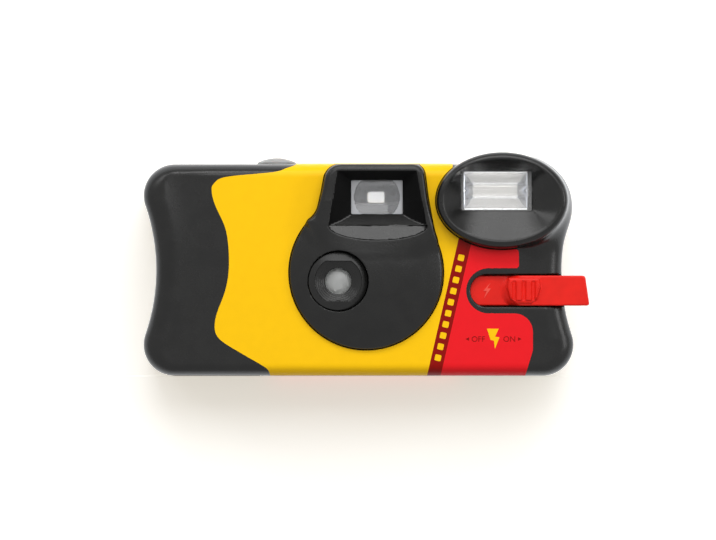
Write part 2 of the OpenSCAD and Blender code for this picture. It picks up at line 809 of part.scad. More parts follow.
module wrap_label() {
    back_edge = 24;
    color([0.98, 0.78, 0.05]) difference() {
        slab_x(-half_w, half_w) polygon(concat(full_section(label_t), reversed(full_section(0))));
        slab_y(-body_d, front_y + edge_d) difference() {
            translate([-body_w, -body_h]) square([2 * body_w, 3 * body_h]);
            label_front_shape();
        }
        for (side = [[-body_w, label_top_x0], [label_top_x1, body_w]])
            span([side[0], front_y + edge_d - 0.01, -over], [side[1], 0, body_h + over]);
        for (side = [[-body_w, label_top_x0], [label_top_x1, body_w]])
            span([side[0], -0.01, body_h / 2], [side[1], rear_y - edge_d, body_h + over]);
        for (side = [[-body_w, -back_edge], [back_edge + 4, body_w]])
            span([side[0], rear_y - edge_d - 0.01, -over], [side[1], body_d, body_h + over]);
        counter_block(label_cut, body_h - over, body_h + over);
        rod_z(lamp_x, lamp_y, pipe_r + label_cut, body_h - over, body_h + over);
        framed_y(vf_x, eye_z, eye_w, eye_h, 1, 0, body_d);
    }
}

// Walls of the exposure chamber, from the gate to the shutter
module chamber_block(gate_add, front_half) {
    hull() {
        window_y(lens_x, film_z, gate_w + gate_add, gate_h + gate_add, plate_y0 - 0.1, plate_y0);
        window_y(lens_x, lens_z, 2 * front_half, 2 * front_half - 2, front_plate_y1, front_plate_y1 + 0.1);
    }
}

module main_frame() {
    left_x = cassette_x + cassette_r + chamber_gap - 1;
    right_x = supply_x + supply_ring_r;
    mid_x = lamp_x - lamp_r - 3;
    cassette_room = cassette_r + chamber_gap;
    shelf_z = capacitor_z0;
    shelf_t = 0.5;
    sprocket_z = film_z1 - perforation_z;
    post_r = 1.5;
    foot_r = 2;
    pin_top = 0.2;
    cap_top = 0.5;
    cell_half = 5;
    color([0.24, 0.24, 0.25]) difference() {
        union() {
            span([left_x, front_plate_y0, deck_z0], [mid_x, plate_y1, deck_z1]);
            span([mid_x - 1, lamp_y - lamp_r - 1.2, deck_z0], [right_x, plate_y1, deck_z1]);
            span([left_x, cell_back_y, floor_z0], [right_x - 4, plate_y1, floor_z1]);
            span(
                [cassette_x + lip_reach + 0.4, plate_y0, floor_z0],
                [supply_x - 0.75 * roll_r, plate_y1, deck_z1]
            );
            span(
                [lens_x - 11.5, front_plate_y0, cell_z + cell_dia / 2 + 1],
                [lens_x + 9.5, front_plate_y1, deck_z1]
            );
            chamber_block(2 * chamber_t, 5.5);
            intersection() {
                rod_z(cassette_x, cassette_y, cassette_room + chamber_t, floor_z0, deck_z1);
                span([cassette_x - 8, in_front, 0], [0, cassette_y + 7, body_h]);
            }
            intersection() {
                rod_z(supply_x, supply_y, supply_ring_r, floor_z0, deck_z1);
                span([0, in_front, 0], [half_w, plate_y0 + 0.1, body_h]);
            }
            span(
                [supply_x - 1.5, board_y1, floor_z1 + 4],
                [supply_x + 1.5, supply_y - roll_r - roll_gap - 0.2, deck_z0 - 4]
            );
            span(
                [cell_wall_x, cell_back_y, floor_z0],
                [cell_end_x + cell_wall_t, cell_back_y + cell_wall_t, shelf_z]
            );
            for (x = [cell_wall_x, cell_end_x])
                span(
                    [x, cell_y - cell_half, cell_z - cell_half],
                    [x + cell_wall_t, cell_back_y + cell_wall_t, cell_z + cell_half]
                );
            span(
                [capacitor_x - cell_half, capacitor_y, shelf_z - shelf_t],
                [capacitor_x + cell_half, cell_back_y + cell_wall_t, shelf_z]
            );
            rod_z(vf_x + vf_w / 2 + 2.6, cassette_y + 1, post_r, deck_z0, in_top);
            rod_z(vf_x - vf_w / 2 - 2.2, button_y - 1, post_r - 0.3, deck_z0, in_top);
            for (x = [lens_x - 14, supply_x - 4])
                rod_z(x, plate_y0 - 2.6, foot_r, wall, floor_z0 + 0.1);
            rod_z(striker_x, striker_y, pin_r, deck_z0, meter_z1 + pin_top);
            rod_z(meter_x, meter_y, pin_r, deck_z0, meter_z1 + cap_top);
            rod_z(counter_x, counter_y, pin_r, deck_z0, counter_z0 + counter_t + cap_top);
            span(
                [button_x - bracket_l, bracket_y0, deck_z0],
                [button_x + bracket_r, bracket_y0 + post_t, bracket_z0 + bracket_t]
            );
            span(
                [button_x - bracket_l, bracket_y0, bracket_z0],
                [button_x + bracket_r, bracket_y1, bracket_z0 + bracket_t]
            );
            rod_y(blade_pivot[0], blade_pivot[1], blade_pin_r, blade_y0 - pin_top, front_plate_y1);
        }
        rod_z(cassette_x, cassette_y, cassette_room, 0, body_h);
        rod_z(supply_x, supply_y, roll_r + roll_gap, floor_z1, deck_z0);
        rod_z(supply_x, supply_y, journal_r + run_gap, floor_z0 - over, deck_z1 + over);
        rod_z(shaft_x, sprocket_y, shaft_r + run_gap, deck_z0 - over, deck_z1 + over);
        difference() {
            chamber_block(0, 4.5);
            span([-half_w, front_plate_y0, 0], [half_w, front_plate_y1, body_h]);
        }
        window_y(lens_x, film_z, gate_w, gate_h, plate_y0 - over, plate_y1 + over);
        rod_y(lens_x, lens_z, stop_r, front_plate_y0 - over, front_plate_y1 + over);
        rod_z(
            shaft_x, sprocket_y, sprocket_r + slide_gap,
            sprocket_z - sprocket_t, sprocket_z + sprocket_t
        );
        rod_z(button_x, button_y, stem_r + run_gap, bracket_z0 - over, bracket_z0 + bracket_t + over);
    }
}

module taking_lens() {
    color([0.55, 0.62, 0.68]) intersection() {
        rod_y(lens_x, lens_z, lens_r + 0.4, tube_y0 + 0.2, tube_y0 + lens_t);
        translate([lens_x, tube_y0 + 0.3 + 3 * lens_r, lens_z]) sphere(r = 3 * lens_r, $fn = 96);
    }
}

module lens_retainer() {
    color([0.12, 0.12, 0.12]) difference() {
        union() {
            rod_y(lens_x, lens_z, retainer_r, retainer_y0, retainer_y1);
            rod_y(lens_x, lens_z, tube_r, tube_y0, retainer_y1);
            for (side = [-1, 1])
                rod_y(lens_x + 5, lens_z + side * 3.6, 1.1, retainer_y1 - 0.5, front_plate_y0);
        }
        rod_y(lens_x, lens_z, lens_r + 0.4 + seat_gap, tube_y0 - over, tube_y0 + lens_t);
        rod_y(lens_x, lens_z, lens_r - 0.4, tube_y0, retainer_y1 + over);
    }
}

// Clear plate with a shallow hollow across its front
module viewfinder_lens() {
    hollow_r = 3 * vf_w;
    hollow_depth = 0.5;
    color([0.7, 0.78, 0.82]) difference() {
        framed_y(vf_x, vf_z, vf_w, vf_h, vf_rim, vf_lens_y0, vf_lens_y0 + vf_lens_t);
        rod_z(vf_x, vf_lens_y0 - hollow_r + hollow_depth, hollow_r, vf_z - vf_h, vf_z + vf_h, $fn = 360);
    }
}

module eyepiece_lens() {
    color([0.7, 0.78, 0.82]) framed_y(vf_x, eye_z, eye_w, eye_h, eye_rim, in_rear, in_rear + eye_t);
}

// Clear flash window with upright prism ribs on its inner face
module flash_window() {
    ribs = 9;
    pitch = flash_w / ribs;
    color([0.85, 0.88, 0.9]) difference() {
        framed_y(flash_x, flash_z, flash_w, flash_h, flash_rim, flash_y0, flash_y1);
        for (i = [1:ribs - 1])
            translate([flash_x - flash_w / 2 + i * pitch, flash_y1, flash_z])
                rotate([0, 0, 45]) cube([0.6, 0.6, flash_h], center = true);
    }
}

// Trough of the reflector in Y and Z, stood off by a distance
function trough(off) = [for (i = [-8:8]) let (t = i / 8)
    [flash_y1 + reflector_d * (1 - t * t) + off, flash_z + t * (flash_h / 2 - reflector_t + off)]];

module flash_reflector() {
    color([0.85, 0.85, 0.87]) difference() {
        slab_x(flash_x - flash_w / 2, flash_x + flash_w / 2) polygon(trough(reflector_t));
        slab_x(flash_x - flash_w / 2 + reflector_t, flash_x + flash_w / 2 - reflector_t)
            polygon(trough(0));
        span([flash_x - flash_w, in_front - 3, 0], [flash_x + flash_w, flash_y1 + seat_gap, body_h]);
        rod_x(tube_glass_y, flash_z, tube_glass_r + seat_gap, flash_x - flash_w, flash_x + flash_w);
    }
}

module flash_tube() {
    tube_half = flash_w / 2 + 2.6;
    color([0.9, 0.92, 0.95]) {
        rod_x(tube_glass_y, flash_z, tube_glass_r, flash_x - tube_half, flash_x + tube_half);
        rod_x(tube_glass_y, flash_z, 0.5, flash_x - tube_half - 1.5, flash_x + tube_half + 1.5);
    }
}

module circuit_board() {
    color([0.15, 0.42, 0.22]) difference() {
        span([board_x0, board_y0, board_z0], [board_x1, board_y1, board_z1]);
        for (z = [board_z0 + 3, board_z1 - 3])
            rod_y(board_x1 - 3, z, 1.2, board_y0 - over, board_y1 + over);
    }
}

module flash_capacitor() {
    groove_z = capacitor_z0 + capacitor_h - 3;
    color([0.1, 0.11, 0.16]) difference() {
        rod_z(capacitor_x, capacitor_y, capacitor_r, capacitor_z0, capacitor_z0 + capacitor_h);
        translate([capacitor_x, capacitor_y, groove_z])
            rotate_extrude() translate([capacitor_r + 0.2, 0]) circle(r = 0.6, $fn = 24);
    }
}

module oscillator_transformer() {
    x0 = board_x0 + 2.5;
    z0 = board_z0 + 4;
    color([0.75, 0.6, 0.2]) {
        span([x0, board_y0 - 6, z0], [x0 + 7.4, board_y0 - 4.8, z0 + 7.4]);
        span([x0, board_y0 - 1.2, z0], [x0 + 7.4, board_y0, z0 + 7.4]);
        rod_y(x0 + 3.7, z0 + 3.7, 3, board_y0 - 5, board_y0 - 1);
    }
}

module trigger_coil() {
    x0 = board_x0 + 4.5;
    z = board_z1 - 5.5;
    y = board_y0 - 3.4;
    color([0.72, 0.4, 0.2]) {
        rod_x(y, z, 2.6, x0 + 1, x0 + 9);
        for (x = [x0, x0 + 9])
            span([x, board_y0 - 6.4, z - 3], [x + 1, board_y0, z + 3]);
    }
}

module flash_switch() {
    z0 = switch_z - switch_h / 2;
    z1 = switch_z + switch_h / 2;
    high_x = high_x0 + switch_h / 2;
    rib_w = 1.4;
    rib_in = 0.9;
    rib_pitch = 2.6;
    bolt_out = slide_gap / 2;
    bolt = [[0.9, 2], [-1.1, -0.3], [0, -0.3], [-0.8, -2.1], [1.1, 0.5], [0.1, 0.5]];
    color([0.89, 0.13, 0.1]) {
        span([tail_x0, tail_y0, z0], [high_x, tail_y1, z1]);
        slab_y(bar_y0, tail_y1) {
            translate([high_x, switch_z]) circle(r = switch_h / 2);
            polygon([[high_x, z0], [bar_x1, z0], [bar_x1 - bar_slant, z1], [high_x, z1]]);
        }
        span([pad_x0, bar_y0 - 0.5, z0 + 0.4], [pad_x0 + pad_w, bar_y0 + over, z1 - 0.6]);
        for (x = [pad_x0 + rib_in:rib_pitch:pad_x0 + pad_w - rib_w])
            span([x, bar_y0 - pad_out, z0 + rib_in], [x + rib_w, bar_y0, z1 - rib_in - 0.2]);
        slab_y(tail_y0 - bolt_out, tail_y0 + over)
            translate([switch_window_x + 4.2, switch_z]) polygon(bolt);
        span(
            [contact_post_x, tail_y1 - over, switch_z - contact_post_half],
            [contact_post_x + contact_post_w, contact_post_y, switch_z + contact_post_half]
        );
    }
}

module switch_contact() {
    leaf_y = contact_post_y + slide_gap;
    color([0.8, 0.68, 0.35]) {
        span([board_x0 + 0.5, leaf_y, switch_z - 1.5], [board_x0 + 6.5, leaf_y + 0.3, switch_z + 1.5]);
        span([board_x0 + 6.2, leaf_y, switch_z - 1.5], [board_x0 + 6.5, board_y0, switch_z + 1.5]);
    }
}

module battery() {
    color([0.72, 0.74, 0.76]) {
        rod_x(cell_y, cell_z, cell_dia / 2, cell_x0, cell_x1 - nub_l);
        rod_x(cell_y, cell_z, nub_r, cell_x1 - nub_l - over, cell_x1);
    }
}

module contact_plate(x) {
    span([x, cell_y - 4, cell_z - 4.5], [x + contact_t, cell_y + 4, cell_z + 4.5]);
}

module battery_positive_contact() {
    color([0.8, 0.8, 0.78]) contact_plate(cell_end_x - contact_t);
}

module battery_negative_contact() {
    color([0.8, 0.8, 0.78]) contact_plate(cell_wall_x + cell_wall_t);
}

module ready_lamp() {
    color([0.9, 0.5, 0.3]) rod_z(lamp_x, lamp_y, lamp_r, deck_z1, in_top - 4.6);
}

module ready_light_pipe() {
    color([0.9, 0.35, 0.2]) {
        rod_z(lamp_x, lamp_y, pipe_r, in_top - 4.5, body_h + 0.2);
        rod_z(lamp_x, lamp_y, lamp_r, in_top - 4.5, in_top - 0.1);
    }
}

module sync_contact() {
    x = lens_x + 4;
    z = lens_z + 13;
    color([0.8, 0.68, 0.35]) {
        span([x, front_plate_y0 - 0.3, z], [x + 2.4, front_plate_y0, z + 5]);
        span([x, front_plate_y0 - 1.2, z + 4.7], [x + 2.4, front_plate_y0, z + 5]);
    }
}

module shutter_button() {
    crown_r = 12;
    color([0.82, 0.81, 0.78]) {
        intersection() {
            rod_z(button_x, button_y, button_r, flange_z0 + 0.5, body_h + button_rise);
            translate([button_x, button_y, body_h + button_rise - crown_r]) sphere(r = crown_r, $fn = 96);
        }
        rod_z(button_x, button_y, flange_r, flange_z0, flange_z1);
        rod_z(button_x, button_y, stem_r, bracket_z0, flange_z0 + 0.5);
    }
}

// Coil spring between the bracket and the button's flange, one unbroken round wire
module button_spring() {
    turns = 2.5;
    steps = 16;
    sides = 6;
    wire_r = 0.2;
    coil_r = stem_r + 0.9;
    z0 = bracket_z0 + bracket_t + wire_r + 0.05;
    z1 = flange_z0 - wire_r - 0.05;
    n = turns * steps;
    rings = [for (i = [0:n]) let (a = 360 * i / steps, z = z0 + (z1 - z0) * i / n)
        [for (j = [0:sides - 1]) let (b = 360 * j / sides, r = coil_r + wire_r * cos(b))
            [button_x + r * cos(a), button_y + r * sin(a), z + wire_r * sin(b)]]];
    color([0.75, 0.76, 0.78]) skin([for (i = [n:-1:0]) rings[i]]);
}

module counter_window() {
    flange = 0.8;
    color([0.8, 0.85, 0.88]) {
        counter_block(-seat_gap, in_top - 0.1, body_h);
        counter_block(flange, in_top - 1, in_top);
    }
}

module counter_disc() {
    notches = 30;
    color([0.92, 0.92, 0.9]) difference() {
        rod_z(counter_x, counter_y, counter_r, counter_z0, counter_z0 + counter_t);
        rod_z(counter_x, counter_y, pin_r + run_gap, counter_z0 - over, counter_z0 + counter_t + over);
        for (i = [0:notches - 1])
            translate([counter_x, counter_y, counter_z0 - over]) rotate(i * 360 / notches)
                translate([counter_r, 0, 0]) cylinder(r = 0.35, h = counter_t + 2 * over, $fn = 6);
    }
}

module thumbwheel() {
    fork_half = 2.6;
    fork_t = 1.4;
    color([0.13, 0.13, 0.13]) {
        difference() {
            rod_z(cassette_x, cassette_y, wheel_r, wheel_z0, wheel_z1);
            for (i = [0:wheel_ribs - 1])
                translate([cassette_x, cassette_y, wheel_z0 - over]) rotate(i * 360 / wheel_ribs)
                    translate([wheel_r, 0, 0]) cylinder(r = 0.45, h = wheel_h + 2 * over, $fn = 8);
        }
        rod_z(cassette_x, cassette_y, wheel_axle_r, wheel_z1 - over, in_top - slide_gap);
        span(
            [cassette_x - fork_half, cassette_y - fork_t / 2, cassette_z1 - fork_l],
            [cassette_x + fork_half, cassette_y + fork_t / 2, wheel_z0 + over]
        );
    }
}

module anti_reverse_pawl() {
    tip = sqrt(pow(wheel_r, 2) - pow(cassette_y - bracket_y0 - post_t / 2, 2)) + 2 * slide_gap;
    inset = 0.3;
    color(lever_colour) span(
        [cassette_x + tip, bracket_y0 + inset, wheel_z0],
        [button_x - bracket_l, bracket_y0 + post_t - inset, min(wheel_z1, bracket_z0 + bracket_t) - inset]
    );
}

module cassette_spool() {
    knob_r = 3.2;
    key_r = 3.1;
    hub_r = 5.6;
    flange_t = 0.8;
    z0 = cassette_z0 + cap_t + cap_gap;
    z1 = cassette_z1 - cap_t - cap_gap;
    color([0.12, 0.12, 0.13]) difference() {
        union() {
            rod_z(cassette_x, cassette_y, knob_r, wall + knob_gap, cassette_z0 + over);
            rod_z(cassette_x, cassette_y, neck_r, cassette_z0, cassette_z1 - 0.2);
            rod_z(cassette_x, cassette_y, hub_r, z0, z1);
            for (z = [z0, z1 - flange_t])
                rod_z(cassette_x, cassette_y, cassette_r - 1.2, z, z + flange_t);
        }
        rod_z(cassette_x, cassette_y, key_r, cassette_z1 - fork_l - slide_gap, cassette_z1);
    }
}

module cassette_shell() {
    shell_t = 0.4;
    lip_half = 0.9;
    slot_half = 0.3;
    r = cassette_r - seat_gap;
    color([0.85, 0.72, 0.12]) difference() {
        union() {
            rod_z(cassette_x, cassette_y, r, cassette_z0 + cap_t, cassette_z1 - cap_t);
            span(
                [cassette_x + 4, film_y - lip_half, film_z0 - 2 * slot_half],
                [cassette_x + lip_reach, film_y + lip_half, film_z1 + 2 * slot_half]
            );
        }
        rod_z(cassette_x, cassette_y, r - shell_t, cassette_z0, cassette_z1);
        span(
            [cassette_x, film_y - slot_half, film_z0 - slot_half],
            [cassette_x + lip_reach + over, film_y + slot_half, film_z1 + slot_half]
        );
    }
}

module cassette_end_caps() {
    color([0.2, 0.2, 0.21]) for (z = [cassette_z0, cassette_z1 - cap_t])
        difference() {
            rod_z(cassette_x, cassette_y, cassette_r, z, z + cap_t);
            rod_z(cassette_x, cassette_y, neck_r + slide_gap, z - over, z + cap_t + over);
        }
}

module film_strip() {
    x0 = cassette_x + lip_reach - 5;
    holes = floor((supply_x - x0 - 4) / perforation_pitch);
    color([0.42, 0.3, 0.26]) difference() {
        span([x0, film_y - film_t / 2, film_z0], [supply_x, film_y + film_t / 2, film_z1]);
        for (i = [0:holes - 1])
            for (z = [film_z0 + perforation_z, film_z1 - perforation_z])
                window_y(x0 + 2.5 + i * perforation_pitch, z, 2, 2.8, film_y - 1, film_y + 1);
    }
}

module film_roll() {
    color([0.4, 0.29, 0.25]) difference() {
        rod_z(supply_x, supply_y, roll_r, film_z0, film_z1);
        rod_z(supply_x, supply_y, core_r + run_gap, film_z0 - over, film_z1 + over);
    }
}

module supply_spool() {
    color([0.12, 0.12, 0.13]) {
        rod_z(supply_x, supply_y, core_r, floor_z1 + slide_gap, deck_z0 - slide_gap);
        rod_z(supply_x, supply_y, journal_r, floor_z0, deck_z1);
    }
}

module metering_sprocket() {
    z = film_z1 - perforation_z - sprocket_t / 2;
    tooth_w = 1.2;
    drive_w = 1;
    hub_r = 2.4;
    color(lever_colour) {
        rod_z(shaft_x, sprocket_y, shaft_r, z, counter_z0 + counter_t);
        rod_z(shaft_x, sprocket_y, sprocket_r - 0.9, z, z + sprocket_t);
        for (i = [0:sprocket_teeth - 1])
            translate([shaft_x, sprocket_y, z]) rotate(i * 360 / sprocket_teeth)
                translate([0, -tooth_w / 2, 0]) cube([sprocket_r, tooth_w, sprocket_t]);
        translate([shaft_x, sprocket_y, striker_z0]) linear_extrude(striker_t) {
            circle(r = hub_r);
            arm([0, 0], [1 - cam_r, 0], 1.6, 1);
        }
        rod_z(shaft_x, sprocket_y, latch_r, meter_z0, meter_z1);
        span(
            [shaft_x, sprocket_y - drive_w / 2, counter_z0],
            [shaft_x + drive_tooth_r, sprocket_y + drive_w / 2, counter_z0 + counter_t]
        );
    }
}

module metering_lever() {
    pivot = [meter_x, meter_y];
    nose_r = 0.9;
    nose = [shaft_x + latch_r + slide_gap + nose_r + 0.1, sprocket_y - 0.3];
    tail = [button_x + 1, button_y + 1.2];
    color(lever_colour) translate([0, 0, meter_z0]) difference() {
        linear_extrude(meter_t) {
            arm(pivot, nose, lever_r, nose_r);
            arm(pivot, tail, lever_r, 1);
        }
        translate([pivot[0], pivot[1], -over]) cylinder(r = pin_r + run_gap, h = meter_t + 2 * over);
    }
}

module striker() {
    pivot = [striker_x, striker_y];
    to_cam = [shaft_x - striker_x, sprocket_y - striker_y];
    nose_r = 0.9;
    hammer_r = 0.7;
    reach = norm(to_cam) - cam_r - 0.5 - nose_r;
    nose = pivot + to_cam * reach / norm(to_cam);
    hammer = [blade_tab[0] - tab_r - slide_gap - hammer_r, blade_y1];
    color([0.8, 0.8, 0.78]) translate([0, 0, striker_z0]) difference() {
        linear_extrude(striker_t) {
            arm(pivot, nose, lever_r, nose_r);
            arm(pivot, hammer, lever_r, hammer_r);
        }
        translate([pivot[0], pivot[1], -over]) cylinder(r = pin_r + run_gap, h = striker_t + 2 * over);
    }
}

// Flat coil of the striker's spring, lying round its pin on the deck
module striker_spring() {
    color([0.75, 0.76, 0.78]) difference() {
        rod_z(striker_x, striker_y, pin_r + 0.7, deck_z1, deck_z1 + 0.3);
        rod_z(striker_x, striker_y, pin_r + 0.2, deck_z1 - over, deck_z1 + 1);
    }
}

module shutter_blade() {
    color([0.08, 0.08, 0.08]) difference() {
        slab_y(blade_y0, blade_y1) {
            arm(blade_pivot, [lens_x, lens_z], blade_hub_r, 1.4);
            translate([lens_x, lens_z]) circle(r = stop_r + 1.4);
            arm(blade_pivot, blade_tab, blade_hub_r, tab_r);
        }
        rod_y(blade_pivot[0], blade_pivot[1], blade_pin_r + run_gap, blade_y0 - over, blade_y1 + over);
    }
}

front_cover();
rear_cover();
film_door();
wrap_label();
main_frame();
taking_lens();
lens_retainer();
viewfinder_lens();
eyepiece_lens();
flash_window();
flash_reflector();
flash_tube();
circuit_board();
flash_capacitor();
oscillator_transformer();
trigger_coil();
flash_switch();
switch_contact();
battery();
battery_positive_contact();
battery_negative_contact();
ready_lamp();
ready_light_pipe();
sync_contact();
shutter_button();
button_spring();
counter_window();
counter_disc();
thumbwheel();
anti_reverse_pawl();
cassette_spool();
cassette_shell();
cassette_end_caps();
film_strip();
film_roll();
supply_spool();
metering_sprocket();
metering_lever();
striker();
striker_spring();
shutter_blade();
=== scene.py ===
"""Looks of the single-use flash film camera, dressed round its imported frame.

Shapes are worked out in millimetres, in the frame's own axes, and scaled to metres when a mesh is made.
X runs to the viewer's right, Y from the lens to the back, Z up. Most shapes are fields: functions that give
the distance from a surface, less than zero inside. Pairs are X and Z unless a comment says otherwise.
"""

import functools
import json
import math
from math import cos, pi, radians, sin

import bmesh
import bpy
import numpy as np
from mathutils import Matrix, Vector

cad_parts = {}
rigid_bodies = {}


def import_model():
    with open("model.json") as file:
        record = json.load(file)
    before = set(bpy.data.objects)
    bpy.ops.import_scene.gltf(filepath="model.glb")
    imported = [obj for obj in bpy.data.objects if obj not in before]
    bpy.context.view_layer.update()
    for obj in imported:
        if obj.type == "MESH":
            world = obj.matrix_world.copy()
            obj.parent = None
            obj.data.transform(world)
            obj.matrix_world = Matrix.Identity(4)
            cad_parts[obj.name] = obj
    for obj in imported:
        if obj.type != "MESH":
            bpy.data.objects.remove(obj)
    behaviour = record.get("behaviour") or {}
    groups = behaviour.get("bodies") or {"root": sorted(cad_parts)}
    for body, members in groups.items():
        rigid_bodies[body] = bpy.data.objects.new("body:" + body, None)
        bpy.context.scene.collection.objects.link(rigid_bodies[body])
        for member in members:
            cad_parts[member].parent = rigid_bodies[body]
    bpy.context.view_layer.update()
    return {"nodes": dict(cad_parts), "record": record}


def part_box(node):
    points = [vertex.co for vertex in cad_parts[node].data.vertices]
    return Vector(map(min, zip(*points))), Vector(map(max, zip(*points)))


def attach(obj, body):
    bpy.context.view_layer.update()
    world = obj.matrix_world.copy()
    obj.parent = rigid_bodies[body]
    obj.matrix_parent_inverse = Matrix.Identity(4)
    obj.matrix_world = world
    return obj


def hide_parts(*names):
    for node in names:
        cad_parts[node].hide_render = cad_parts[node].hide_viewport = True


MM = 0.001

for stale in list(bpy.data.objects):
    bpy.data.objects.remove(stale)

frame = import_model()
nodes = frame["nodes"]

# Body, as in the part's source
BODY_H = 57.6
HALF_D = 16.2
FRONT_Y = -HALF_D
WALL = 1.6
EDGE_R = 3.2
SIDE_R = 6.5
EDGE_D = 4.5
PARTING_Y = 5.0
PARTING_GAP = 0.05

# Corners of the outline by side and level: their middle and radius
CORNER_R = 8.5
CORNERS = {
    (-1, -1): (-50.0, CORNER_R, CORNER_R),
    (1, -1): (50.0, CORNER_R, CORNER_R),
    (-1, 1): (-50.0, 49.1, CORNER_R),
    (1, 1): (44.3, 44.6, 13.0),
}
WAIST_DEPTH = 3.4
WAIST_REACH = 20.0

# Left grip, whose front falls back towards its top
GRIP_X = -39.0
GRIP_Z = 24.0
GRIP_REACH = 17.0
GRIP_FALL = 2.4

# Dome
DOME = (2.1, 28.1)
DOME_R = 20.9
DOME_STEP = 1.2
DOME_RISE = 4.7
DOME_TOP_Y = FRONT_Y - DOME_STEP - DOME_RISE
DOME_SPHERE_R = (DOME_R**2 + DOME_RISE**2) / (2 * DOME_RISE)
DOME_ROOM_R = 16.0
DOME_ROOM_TOP = 8.0
ROOT_DEPTH = 2.0
ROOM_DEPTH = 3.0

# Viewfinder: window, tower, mouth, and the crescent below the mouth, whose place is X and Y
FINDER = (5.0, 48.6)
FINDER_W = 14.0
FINDER_H = 9.2
FINDER_Y = FRONT_Y - 0.4
TOWER_Y = FRONT_Y - 5
TOWER_FLAT_Z = FINDER[1] - 1
TOWER_LEAN_Z = (DOME[1] + 6, FINDER[1] - 7.3, TOWER_FLAT_Z)
TOWER_LEAN_Y = (TOWER_Y + 2.8, TOWER_Y + 1.1, TOWER_Y)
MOUTH_LOW = 40.9
MOUTH_TOP = BODY_H - 1.9
MOUTH = [(FINDER[0] + 13.4, MOUTH_LOW), (FINDER[0] + 10.8, MOUTH_TOP),
         (FINDER[0] - 10.8, MOUTH_TOP), (FINDER[0] - 13, MOUTH_LOW)]
SCOOP = (5.3, FRONT_Y - 2.75)
SCOOP_DROP = 3.95
SCOOP_HALF_W = 13.4
SCOOP_RUN = -1.9
SCOOP_TURN = 0.05
SCOOP_BOW = 0.2

# Flash hood, which sinks and narrows towards the back, and its window
HOOD = (39.0, 47.8)
HOOD_A = 17.9
HOOD_B = 13.0
HOOD_Y = FRONT_Y - 5
HOOD_RIM = 1.6
HOOD_DRAFT = 0.15
HOOD_TAPER_START = 3.0
HOOD_TAPER_RUN = 8.0
HOOD_SINK = 4.2
HOOD_NARROW_A = 2.5
HOOD_NARROW_B = 0.5
HOOD_LENGTH = 11.0
HOOD_BLEND_X = 4.2
HOOD_BLEND_RUN = 5.0
FLASH = (37.5, 50.4)
FLASH_H = 10.3
FLASH_OPEN_W = 19.4
FLASH_Y = -17.0

# Lens ring and flash switch
LENS = (-5.5, 25.8)
RING_R = 8.25
RING_GAP = 0.15
RING_Y = DOME_TOP_Y + 2.2
SLIDE_GAP = 0.3
SEAT_GAP = 0.15
SWITCH_Z = 23.2
SWITCH_H = 8.2
SWITCH_ROOM_Y = -12.7
SWITCH_TRAVEL = 7.6
SLOT_R = SWITCH_H / 2 + SLIDE_GAP
SLOT_X = 30.4 + SLOT_R
TAIL_X = 29.5
TAIL_Y = -14.8
TAIL_BACK_Y = -13.0
TAIL_ROOM = ((TAIL_X - SWITCH_TRAVEL - SLIDE_GAP, TAIL_Y - SLIDE_GAP, SWITCH_Z - SLOT_R),
             (SLOT_X, TAIL_BACK_Y, SWITCH_Z + SLOT_R))

# Openings of the top, with places in X and Y, then of the back and the base: two corners and a radius
BUTTON = (-22.3, -5.8)
BUTTON_R = 5.35
LIGHT = (21.3, 0.3)
LIGHT_R = 1.65
TOP_HOLE_Z = (50, 65)
COUNTER_LEDGE = 0.7
WHEEL_SLOT = ((-49.2, 10, 48.3), (-29.6, 20, 53.1), 0.8)
EYEPIECE_HOLE = ((0.9, 13, 46.2), (8.3, 20, 51.2), 0.4)
DOOR_HOLE = ((-52.2, -12.75, -1.0), (-26.6, 14.1, 2.3), 0.3)

# Rounding of the moulded edges
DOME_EDGE = 0.7
TOWER_EDGE = 1.8
HOOD_EDGE = 2.4
HOOD_BACK_EDGE = 0.5
MOUTH_EDGE = 0.35
FUNNEL_EDGE = 0.3
LENS_HOLE_EDGE = 0.25
HOLE_EDGE = 0.4
LIGHT_EDGE = 0.3
DOOR_EDGE = 0.2
PARTING_EDGE = 0.3
CRISP_EDGE = 0.1
FILLET = 0.5
HOOD_FILLET = 5.0
TOWER_BLEND = 5.0
CROWN_FILLET = 1.2
CROWN_EDGE = 0.15

OVERLAP = 0.02
TINY = 0.01


def shared(*fields):
    """What solids share, with sharp edges."""
    return functools.reduce(np.maximum, fields)


def away(a, b, middle):
    """Distance from a place in a plane."""
    return np.hypot(a - middle[0], b - middle[1])


def joined(a, b, r):
    """Two solids joined with a fillet of about r."""
    blend = np.maximum(r - np.abs(a - b), 0) / r
    return np.minimum(a, b) - blend * blend * r / 4


def crossed(a, b, r):
    """What two solids share, with its edge rounded by about r."""
    return -joined(-a, -b, r)


def carved(a, b, r):
    """One solid less another, with the cut's edge rounded by about r."""
    return -joined(-a, b, r)


def ellipse_field(x, z, a, b, middle=None):
    """Ellipse about the origin, true at its edge, with a set value at its middle."""
    if middle is None:
        middle = -min(np.min(a), np.min(b))
    reach = np.sqrt((x / a) ** 2 + (z / b) ** 2)
    slope = np.sqrt((x / a**2) ** 2 + (z / b**2) ** 2)
    near_middle = reach < 0.05
    return np.where(near_middle, middle, reach * (reach - 1) / np.where(near_middle, 1, slope))


def box_field(x, z, half_w, half_h, r):
    """Rectangle about the origin with corners of radius r."""
    dx = np.abs(x) - half_w + r
    dz = np.abs(z) - half_h + r
    return np.hypot(np.maximum(dx, 0), np.maximum(dz, 0)) + np.minimum(np.maximum(dx, dz), 0) - r


